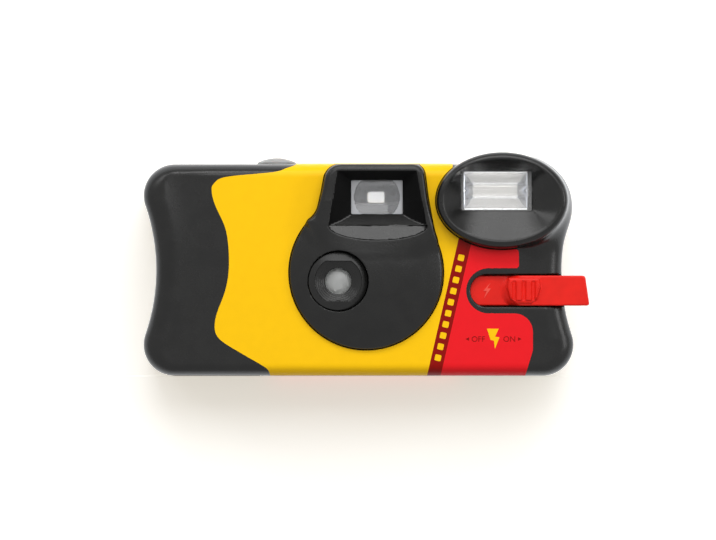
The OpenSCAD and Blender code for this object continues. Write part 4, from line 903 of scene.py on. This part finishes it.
cells = [[(x0, row), (x1, row), (x1, row + 1), (x0, row + 1)]
         for x0, x1 in zip(LABEL_COLUMNS, LABEL_COLUMNS[1:]) for row in range(len(SECTION) - 1)]
paper = parted(cells, label_field)[0]
yellow_part, rest = parted(paper, lambda x, row: border_field(x, row, 0))
stripe_part, red_part = parted(rest, lambda x, row: border_field(x, row, STRIPE_W))
label, print_of_face = wrapped_sheet("wrap_sheet", (yellow_part, stripe_part, red_part))
ready(label, "label_print", "wrap_label", looks=["yellow_print", "dark_print", "red_print"])
label.data.polygons.foreach_set("material_index", print_of_face)


def face_outward(obj):
    """Turns all faces of a closed mesh outward."""
    shape = bmesh.new()
    shape.from_mesh(obj.data)
    bmesh.ops.recalc_face_normals(shape, faces=shape.faces)
    shape.to_mesh(obj.data)
    shape.free()


def plates(name, outlines, y0, y1):
    """Thin closed plates on the front or the back, from outlines."""
    points, faces = [], []
    for outline in outlines:
        start, count = len(points), len(outline)
        points += [(x, y0, z) for x, z in outline] + [(x, y1, z) for x, z in outline]
        faces.append([start + i for i in range(count)])
        faces.append([start + count + i for i in reversed(range(count))])
        for i in range(count):
            j = (i + 1) % count
            faces.append([start + j, start + i, start + count + i, start + count + j])
    obj = mesh_object(name, points, faces, False)
    face_outward(obj)
    return obj


# Marks printed on the label
PRINT_Y = FRONT_Y - LABEL_OUT
BACK_PRINT_Y = HALF_D + LABEL_OUT
PRINT_SINK = 0.02
PRINT_UP = 0.04
FRONT_PRINT = (PRINT_Y + PRINT_SINK, PRINT_Y - PRINT_UP)
HOLE_HALF = 0.85
HOLE_CORNER = 0.3
HOLE_PITCH = 3.1
HOLE_START = 5.5
HOLE_COUNT = 10
BOLT = [(34.9, 12.85), (38.1, 12.85), (37.1, 10.7), (38.3, 10.5), (37.05, 7.34), (36.8, 9.6), (35.9, 9.8)]
MARK_Z = 10.05
WORD_H = 1.5
WORD_UP = 0.01
WORD_HALF = 0.03
ARROW_L = 0.95
ARROW_HALF = 0.48


def tilted_square(along):
    """Rounded square in the middle of the border's stripe, a way along it."""
    outline = []
    straight = HOLE_HALF - HOLE_CORNER
    for corner, (sx, sz) in enumerate(((1, 1), (-1, 1), (-1, -1), (1, -1))):
        outline += arc_points((sx * straight, sz * straight), HOLE_CORNER, 90 * corner, 90 * corner + 90, 3)
    c, s = cos(BORDER_LEAN), sin(BORDER_LEAN)
    spots = [(STRIPE_W / 2 + u, along + v) for u, v in outline]
    return [(BORDER_X + u * c + v * s, v * c - u * s) for u, v in spots]


def square(x, z, half):
    """Outline of an upright square."""
    return [(x - half, z - half), (x + half, z - half), (x + half, z + half), (x - half, z + half)]


def words(name, text, middle, right, up):
    """Raised lettering about a middle, on the plane of its reading and upward directions."""
    curve = bpy.data.curves.new(name, "FONT")
    curve.body = text
    curve.align_x = "CENTER"
    curve.extrude = 0.02
    holder = link(bpy.data.objects.new(name + "_curve", curve))
    mesh = bpy.data.meshes.new_from_object(holder.evaluated_get(bpy.context.evaluated_depsgraph_get()))
    bpy.data.objects.remove(holder)
    points = np.array([v.co for v in mesh.vertices])
    faces = [list(p.vertices) for p in mesh.polygons]
    low, high = points[:, 1].min(), points[:, 1].max()
    scale = WORD_H / (high - low)
    points[:, :2] = (points[:, :2] - (0, (low + high) / 2)) * scale
    points[:, 2] = np.sign(points[:, 2]) * WORD_HALF
    return mesh_object(name, points @ [right, up, np.cross(right, up)] + middle, faces, False)


holes = [tilted_square(HOLE_START + i * HOLE_PITCH) for i in range(HOLE_COUNT)]
marks = plates("yellow_marks", holes + [BOLT], *FRONT_PRINT)
ready(marks, "label_print")
back_holes = [square(x, BACK_BAND_Z - STRIPE_W / 2, HOLE_HALF) for x in np.arange(-22, 27.5, HOLE_PITCH)]
back_marks = plates("back_marks", back_holes, BACK_PRINT_Y - PRINT_SINK, BACK_PRINT_Y + PRINT_UP)
ready(back_marks, "label_print")
for name, text, x in (("off_word", "OFF", 32.55), ("on_word", "ON", 41.0)):
    word = words(name, text, (x, PRINT_Y - WORD_UP, MARK_Z), (1, 0, 0), (0, 0, 1))
    ready(word, "label_print", looks=["dark_print"])
arrows = [[(x, MARK_Z), (x - way * ARROW_L, MARK_Z + ARROW_HALF), (x - way * ARROW_L, MARK_Z - ARROW_HALF)]
          for x, way in ((29.1, -1), (44.3, 1))]
mark_arrows = plates("mark_arrows", arrows, *FRONT_PRINT)
ready(mark_arrows, "label_print", looks=["dark_print"])

# Frame counter: numbers on the disc under its window, read from behind the camera
disc_low, disc_high = node_box("counter_disc")
DISC_TOP = np.array([*(disc_low + disc_high)[:2] / 2, disc_high[2] + WORD_UP])
NUMBER_R = 4.4
NUMBERS = range(0, 30, 3)
for i, number in enumerate(NUMBERS):
    turn = i * 2 * pi / len(NUMBERS)
    right = np.array([-cos(turn), -sin(turn), 0])
    up = np.array([sin(turn), -cos(turn), 0])
    digits = words(f"number_{number}", str(number), DISC_TOP + NUMBER_R * up, right, up)
    ready(digits, "black_plastic", body="counter")

# Raised winding arrow on the back
ARROW_Z = 45.0
ARROW = [(-33, ARROW_Z - 0.4), (-33, ARROW_Z + 0.4), (-42.5, ARROW_Z + 0.4), (-42.5, ARROW_Z + 1.4),
         (-46, ARROW_Z), (-42.5, ARROW_Z - 1.4), (-42.5, ARROW_Z - 0.4)]
ready(plates("wind_arrow", [ARROW], HALF_D - 0.1, HALF_D + 0.2), "black_plastic")

# Flash switch
HIGH_X = 38.3
BAR_END_X = 62.8
BAR_SLANT = 1.2
BAR_Y = -16.6
RAMP = 3.4
PAD_X = 40.7
PAD_W = 8.4
PAD_PITCH = 2.6
PAD_RIBS_HALF = 2.6
PAD_RISE = 0.35
PAD_RIM = 0.2
RIB_RISE = 0.55
RIB_START = 0.3
RIB_FLANK = 0.4
PAD_OUTLINE = [(PAD_X + 0.2, 26.5), (PAD_X + 8.2, 26.5), (PAD_X + 8.5, 24.0), (PAD_X + 7.7, 21.2),
               (PAD_X + 6.2, 19.9), (PAD_X + 2.2, 19.9), (PAD_X + 0.7, 21.2), (PAD_X - 0.1, 24.0)]
POST = ((32.0, TAIL_BACK_Y - 0.5, SWITCH_Z - 0.9), (34.0, -11.1, SWITCH_Z + 0.9))
SWITCH_BOLT = [(36.0, 25.5), (33.9, 23.1), (34.9, 23.1), (34.1, 21.1), (36.0, 23.8), (35.0, 23.8)]


def switch_field(x, y, z):
    """Red slide: low tail, raised bar with a slanted end, ribbed thumb pad and post."""
    foot = HIGH_X + SLOT_R - np.sqrt(np.maximum(SLOT_R**2 - (z - SWITCH_Z) ** 2, 0))
    rise = np.clip((x - foot) / RAMP, 0, 1)
    face = TAIL_Y + (BAR_Y - TAIL_Y) * rise * rise * (3 - 2 * rise)
    end = BAR_END_X - BAR_SLANT * (z - SWITCH_Z + SWITCH_H / 2) / SWITCH_H
    edges = crossed(np.abs(z - SWITCH_Z) - SWITCH_H / 2, shared(TAIL_X - x, x - end), 0.9)
    shape = crossed(edges, shared(face - y, y - TAIL_BACK_Y), 0.5)
    pad = polygon_field(x, z, PAD_OUTLINE) - 0.25
    groove = np.abs((x - PAD_X - PAD_W / 2 + PAD_PITCH / 2) % PAD_PITCH - PAD_PITCH / 2)
    rib = RIB_RISE * np.clip(groove - RIB_START, 0, RIB_FLANK) / RIB_FLANK
    relief = np.where(np.abs(z - SWITCH_Z) < PAD_RIBS_HALF, rib, PAD_RIM)
    pad = crossed(pad, BAR_Y - PAD_RISE - relief - y, 0.8)
    shape = joined(shape, shared(pad, y - BAR_Y - 0.5), 0.3)
    return np.minimum(shape, box3_field(x, y, z, *POST))


switch = moulded("switch_slide", switch_field, (
    grid_axis(28.9, (40, 0.22), (50, 0.14), (63.1, 0.25)),
    grid_axis(-18.2, (-10.6, 0.2)),
    grid_axis(18.5, (27.9, 0.16)),
))
ready(switch, "red_plastic", "flash_switch", body="switch")
# Raised bolt on the slide's tail, in a lighter red that is a painted highlight
switch_bolt = plates("switch_bolt", [SWITCH_BOLT], TAIL_Y + 0.1, TAIL_Y - 0.15)
ready(switch_bolt, "red_plastic", looks=["red_painted_highlight"], body="switch")

# Lens: bezel with a stepped well, and the glass
WELL_R = 6.4
WELL_LIP = 0.6
WELL_SLOPE = 0.5
CORE_R = 3.65
CORE_Y = -15.9
RING_SLOPE = 0.27
BEZEL_BACK_Y = -16.0
BEZEL_EDGE = 0.12
BEZEL_REACH = 8.2
GROOVE_PITCH = 0.56
GROOVE_DEPTH = 0.03
FLATS = 5.4
LENS_GLASS_R = 3.6
GLASS_STEPS = 10


def bezel_field(x, y, z):
    """Ring round the lens, with flats above and below its grooved well."""
    u, w = x - LENS[0], z - LENS[1]
    radial = np.hypot(u, w)
    face = RING_Y + RING_SLOPE * (radial - WELL_R)
    ring = crossed(radial - RING_R + RING_GAP, shared(face - y, y - BEZEL_BACK_Y), 0.3)
    grooves = GROOVE_DEPTH * np.cos(radial * 2 * pi / GROOVE_PITCH)
    cone_y = RING_Y + WELL_LIP + WELL_SLOPE * (WELL_R - radial) + grooves
    cone = shared(radial - WELL_R, np.abs(w) - FLATS, y - cone_y)
    core = shared(radial - CORE_R, y - CORE_Y)
    return carved(ring, np.minimum(cone, core), BEZEL_EDGE)


def turned(name, middle, axis, profile, steps=72):
    """Turned piece, from (radius, height) pairs that start and end on its axis."""
    u, v = (axis + 1) % 3, (axis + 2) % 3
    points, rings = [], []
    for r, h in profile:
        ring = []
        for a in np.arange(steps if r else 1) * 2 * pi / steps:
            point = np.array(middle, float)
            point[[axis, u, v]] += h, r * cos(a), r * sin(a)
            ring.append(len(points))
            points.append(point)
        rings.append(ring if r else ring * steps)
    faces = []
    for low, high in zip(rings, rings[1:]):
        for i in range(steps):
            j = (i + 1) % steps
            faces.append(list(dict.fromkeys((low[i], low[j], high[j], high[i]))))
    obj = mesh_object(name, points, faces)
    face_outward(obj)
    obj.data.set_sharp_from_angle(angle=radians(35))
    return obj


def bowed(bow_r, apex, way):
    """Profile of a bowed lens face from middle to edge; way is 1 in front and -1 behind."""
    radii = np.linspace(0, LENS_GLASS_R, GLASS_STEPS + 1)
    return [(r, apex + way * (bow_r - math.sqrt(bow_r**2 - r**2))) for r in radii]


bezel = moulded("lens_bezel", bezel_field, (
    grid_axis(LENS[0] - BEZEL_REACH, (LENS[0] + BEZEL_REACH, 0.16)),
    grid_axis(-20.3, (-15.6, 0.15)),
    grid_axis(LENS[1] - BEZEL_REACH, (LENS[1] + BEZEL_REACH, 0.16)),
), 0.12)
ready(bezel, "black_plastic")
glass = turned("lens_glass", (LENS[0], 0, LENS[1]), 1, bowed(7.0, -17.1, 1) + bowed(9.0, -14.9, -1)[::-1])
ready(glass, "clear_plastic", "taking_lens", looks=["lens_plastic"])

# Viewfinder front lens: plate with a round hollow
HOLLOW_R = 19.0
HOLLOW_DEPTH = 1.05
HOLLOW_EDGE_R = 6.25
FINDER_MARGIN = 0.4
finder_low, finder_high = node_box("viewfinder_lens")


def finder_field(x, y, z):
    """Viewfinder's front plate."""
    plate = box3_field(x, y, z, finder_low, finder_high, 0.25)
    hollow_y = finder_low[1] + HOLLOW_DEPTH - HOLLOW_R
    hollow = np.sqrt((x - FINDER[0]) ** 2 + (y - hollow_y) ** 2 + (z - FINDER[1]) ** 2) - HOLLOW_R
    return shared(plate, -hollow)


finder_glass = moulded("finder_glass", finder_field, [
    grid_axis(low - FINDER_MARGIN, (high + FINDER_MARGIN, spacing))
    for low, high, spacing in zip(finder_low, finder_high, (0.25, 0.12, 0.25))
], 0.1)
ready(finder_glass, "clear_plastic", "viewfinder_lens", looks=["finder_plastic", "finder_rim"])
for face in finder_glass.data.polygons:
    across, up = face.center[0] / MM - FINDER[0], face.center[2] / MM - FINDER[1]
    if face.normal[1] < -0.5 and math.hypot(across, up) > HOLLOW_EDGE_R:
        face.material_index = 1

# Flash: clear window and polished trough
WINDOW_MARGIN = 0.3
WINDOW_EDGE = 0.7
WINDOW_STEP = 0.15
TROUGH_FRONT_Y = -15.2
TROUGH_Y = -9.4
TROUGH_R = 2.3
TROUGH_X = 37.25
TROUGH_HALF_W = 8.6
TROUGH_HALF_H = 5.1
TROUGH_BULGE = 0.8
TROUGH_SHEET = 0.2
FACET_RISE = 0.9
END_SLOPE = 0.34
RIB_DEPTH = 0.2
window_low, window_high = node_box("flash_window")


def window_field(x, y, z):
    """Flash window."""
    return box3_field(x, y, z, window_low, window_high, 0.3)


def window_axis(axis):
    """Grid lines over the flash window, close together near its edges."""
    low, high = window_low[axis], window_high[axis]
    return grid_axis(low - WINDOW_MARGIN, (low + WINDOW_EDGE, WINDOW_STEP), (high - WINDOW_EDGE, 1.0),
                     (high + WINDOW_MARGIN, WINDOW_STEP))


window_y_axis = grid_axis(window_low[1] - WINDOW_MARGIN, (window_high[1] + WINDOW_MARGIN, WINDOW_STEP))
flash_glass = moulded("flash_glass", window_field, (window_axis(0), window_y_axis, window_axis(2)), 0.08)
ready(flash_glass, "clear_plastic", "flash_window", looks=["window_plastic"])

# Section of the trough as heights and Y: ribbed flare, then bowl, then the same mirrored
flare = [(TROUGH_R + (TROUGH_HALF_H - TROUGH_R) * (1 - k) ** TROUGH_BULGE,
          TROUGH_FRONT_Y + (TROUGH_Y - TROUGH_FRONT_Y) * k) for k in np.linspace(0, 1, 9)[:-1]]
half_section = [(h, y + RIB_DEPTH * (i % 2)) for i, (h, y) in enumerate(flare)]
half_section += arc_points((0, TROUGH_Y), TROUGH_R, 0, 90, 8)
section = half_section + [(-h, y) for h, y in reversed(half_section[:-1])]
deepest = len(half_section) - 1
trough_points = []
for h, y in section + [(0, TROUGH_FRONT_Y)]:
    reach = TROUGH_HALF_W - END_SLOPE * (y - TROUGH_FRONT_Y)
    trough_points += [(TROUGH_X - reach, y, FLASH[1] + h), (TROUGH_X + reach, y, FLASH[1] + h)]
trough_faces = [(2 * i, 2 * i + 1, 2 * i + 3, 2 * i + 2) for i in range(len(section) - 1)]
for side in (0, 1):
    for half in (range(deepest + 1), range(deepest, len(section))):
        loop = [2 * i + side for i in half]
        loop.insert(0 if half.start else len(loop), 2 * len(section) + side)
        middle = np.mean([trough_points[i] for i in loop], axis=0)
        middle[0] += (2 * side - 1) * FACET_RISE
        hub = len(trough_points)
        trough_points.append(tuple(middle))
        for a, b in zip(loop, loop[1:] + loop[:1]):
            trough_faces.append((hub, b, a) if side else (hub, a, b))
trough = mesh_object("flash_trough", trough_points, trough_faces)
trough.data.set_sharp_from_angle(angle=radians(30))
sheet_metal = trough.modifiers.new("sheet_metal", "SOLIDIFY")
sheet_metal.thickness = TROUGH_SHEET * MM
sheet_metal.offset = 1.0
ready(trough, "reflector_metal", "flash_reflector", looks=["reflector_metal", "reflector_ends_painted_shade"])
# The end facets take the darker copy of the reflector's metal: painted shade
for face in trough.data.polygons[len(section) - 1:]:
    face.material_index = 1

# Shutter button, as radius and height: stem, flange below the cover, rounded rim and crown
RIM_Z = 57.5
RIM_R = 0.8
CROWN_Z = 59.3
CROWN_R = 4.7
button_profile = (
    [(0, 50.4), (1.9, 50.4), (1.9, 54.3), (6.1, 54.3), (6.2, 54.5), (6.1, 55.6), (BUTTON_R, 55.7),
     (BUTTON_R, RIM_Z)]
    + [(BUTTON_R - RIM_R + RIM_R * cos(a), RIM_Z + RIM_R * sin(a))
       for a in np.radians((30, 55, 72))]
    + [(r, CROWN_Z - (r / CROWN_R) ** 2) for r in (3.9, 3.0, 2.0, 1.0, 0)]
)
button = turned("button_cap", (*BUTTON, 0), 2, button_profile, 96)
ready(button, "button_plastic", "shutter_button", body="button")

# Camera at the photograph's angle
PHOTO_W_MM = 194.57
SENSOR_W = 36
CAMERA_DISTANCE = 3000.0
CAMERA_X = -0.14
CAMERA_Z = 28.8
camera_data = bpy.data.cameras.new("photo_camera")
camera_data.sensor_width = SENSOR_W
camera_data.lens = SENSOR_W * (CAMERA_DISTANCE + FRONT_Y) / PHOTO_W_MM
camera = link(bpy.data.objects.new("photo_camera", camera_data))
camera.location = Vector((CAMERA_X, -CAMERA_DISTANCE, CAMERA_Z)) * MM
camera.rotation_euler = (radians(90), 0, 0)
bpy.context.scene.camera = camera

# Softboxes: place, size and power
LIGHT_TARGET = Vector((0, 0, 28)) * MM
SOFTBOXES = {
    "front_softbox": ((120, -760, 400), (800, 420), 2.9),
    "top_softbox": ((0, -500, 690), (800, 240), 3.3),
    "over_softbox": ((0, 60, 750), (900, 300), 0.6),
    "side_softbox": ((760, -420, 160), (200, 420), 1.2),
    "left_softbox": ((-640, -420, 560), (220, 300), 0.8),
    "back_softbox": ((-200, 800, 480), (800, 260), 3.4),
}
for name, (place, size, power) in SOFTBOXES.items():
    light_data = bpy.data.lights.new(name, "AREA")
    light_data.shape = "RECTANGLE"
    light_data.size = size[0] * MM
    light_data.size_y = size[1] * MM
    light_data.energy = power
    softbox = link(bpy.data.objects.new(name, light_data))
    softbox.location = Vector(place) * MM
    softbox.rotation_euler = (LIGHT_TARGET - softbox.location).to_track_quat("-Z", "Y").to_euler()

# Stage: floor and backdrop
STAGE_COLOUR = (0.92, 0.95, 0.98, 1)
SEEN_GLOW = (0.5, 0.45, 0.37, 1)
MIRRORED_GLOW = (0.9, 0.9, 0.9, 1)
FLOOR_Z = -0.25
FLOOR_FRONT_Y = 4.0
BACKDROP_Y = 17.6
BACKDROP_LOW = -400
BACKDROP_TOP = 900
REACH = 2500


def highest(tree, top, *others):
    """Node output that is the highest of several."""
    for other in others:
        node = tree.nodes.new("ShaderNodeMath")
        node.operation = "MAXIMUM"
        fill_inputs(tree, node, {0: top, 1: other})
        top = node.outputs[0]
    return top


def stage_material(name):
    """Pale surface that keeps the shadow, is white in glass and gloss, and shows only its front."""
    material, tree = new_material(name)
    tree.nodes.clear()
    path = add_node(tree, "ShaderNodeLightPath")
    shades = add_node(tree, "ShaderNodeBsdfDiffuse", {"Color": STAGE_COLOUR})[0]
    mirrored = highest(tree, path["Is Glossy Ray"], path["Is Transmission Ray"])
    for colour, strength in ((SEEN_GLOW, path["Is Camera Ray"]), (MIRRORED_GLOW, mirrored)):
        glow = add_node(tree, "ShaderNodeEmission", {"Color": colour, "Strength": strength})[0]
        shades = add_node(tree, "ShaderNodeAddShader", {0: shades, 1: glow})[0]
    away = add_node(tree, "ShaderNodeNewGeometry")["Backfacing"]
    unseen = highest(tree, away, path["Is Shadow Ray"], path["Is Diffuse Ray"])
    nothing = add_node(tree, "ShaderNodeBsdfTransparent")[0]
    surface = add_node(tree, "ShaderNodeMixShader", {"Fac": unseen, 1: shades, 2: nothing})[0]
    add_node(tree, "ShaderNodeOutputMaterial", {"Surface": surface})
    return material


def plane(name, low, high):
    """Flat stage piece between two opposite corners."""
    obj = mesh_object(name, [low, (high[0], *low[1:]), high, (low[0], *high[1:])], [(0, 1, 2, 3)], False)
    obj.data.materials.append(stage_material(name + "_pale"))


plane("floor", (-REACH, FLOOR_FRONT_Y, FLOOR_Z), (REACH, REACH, FLOOR_Z))
plane("backdrop", (-REACH, BACKDROP_Y, BACKDROP_LOW), (REACH, BACKDROP_Y, BACKDROP_TOP))

# World: plain light, white where it is seen directly or in gloss and glass
WORLD_LIGHT = 0.35
WORLD_SEEN = 1.0
world = bpy.data.worlds.new("studio")
bpy.context.scene.world = world
world.use_nodes = True
world_tree = world.node_tree
world_path = add_node(world_tree, "ShaderNodeLightPath")
shown = highest(world_tree, *(world_path[f"Is {kind} Ray"] for kind in ("Camera", "Transmission", "Glossy")))
fill_inputs(world_tree, world_tree.nodes["Background"], {
    "Color": (1, 1, 1, 1),
    "Strength": between(world_tree, shown, WORLD_LIGHT, WORLD_SEEN),
})
bpy.context.scene.view_settings.view_transform = "Standard"

bpy.context.view_layer.update()
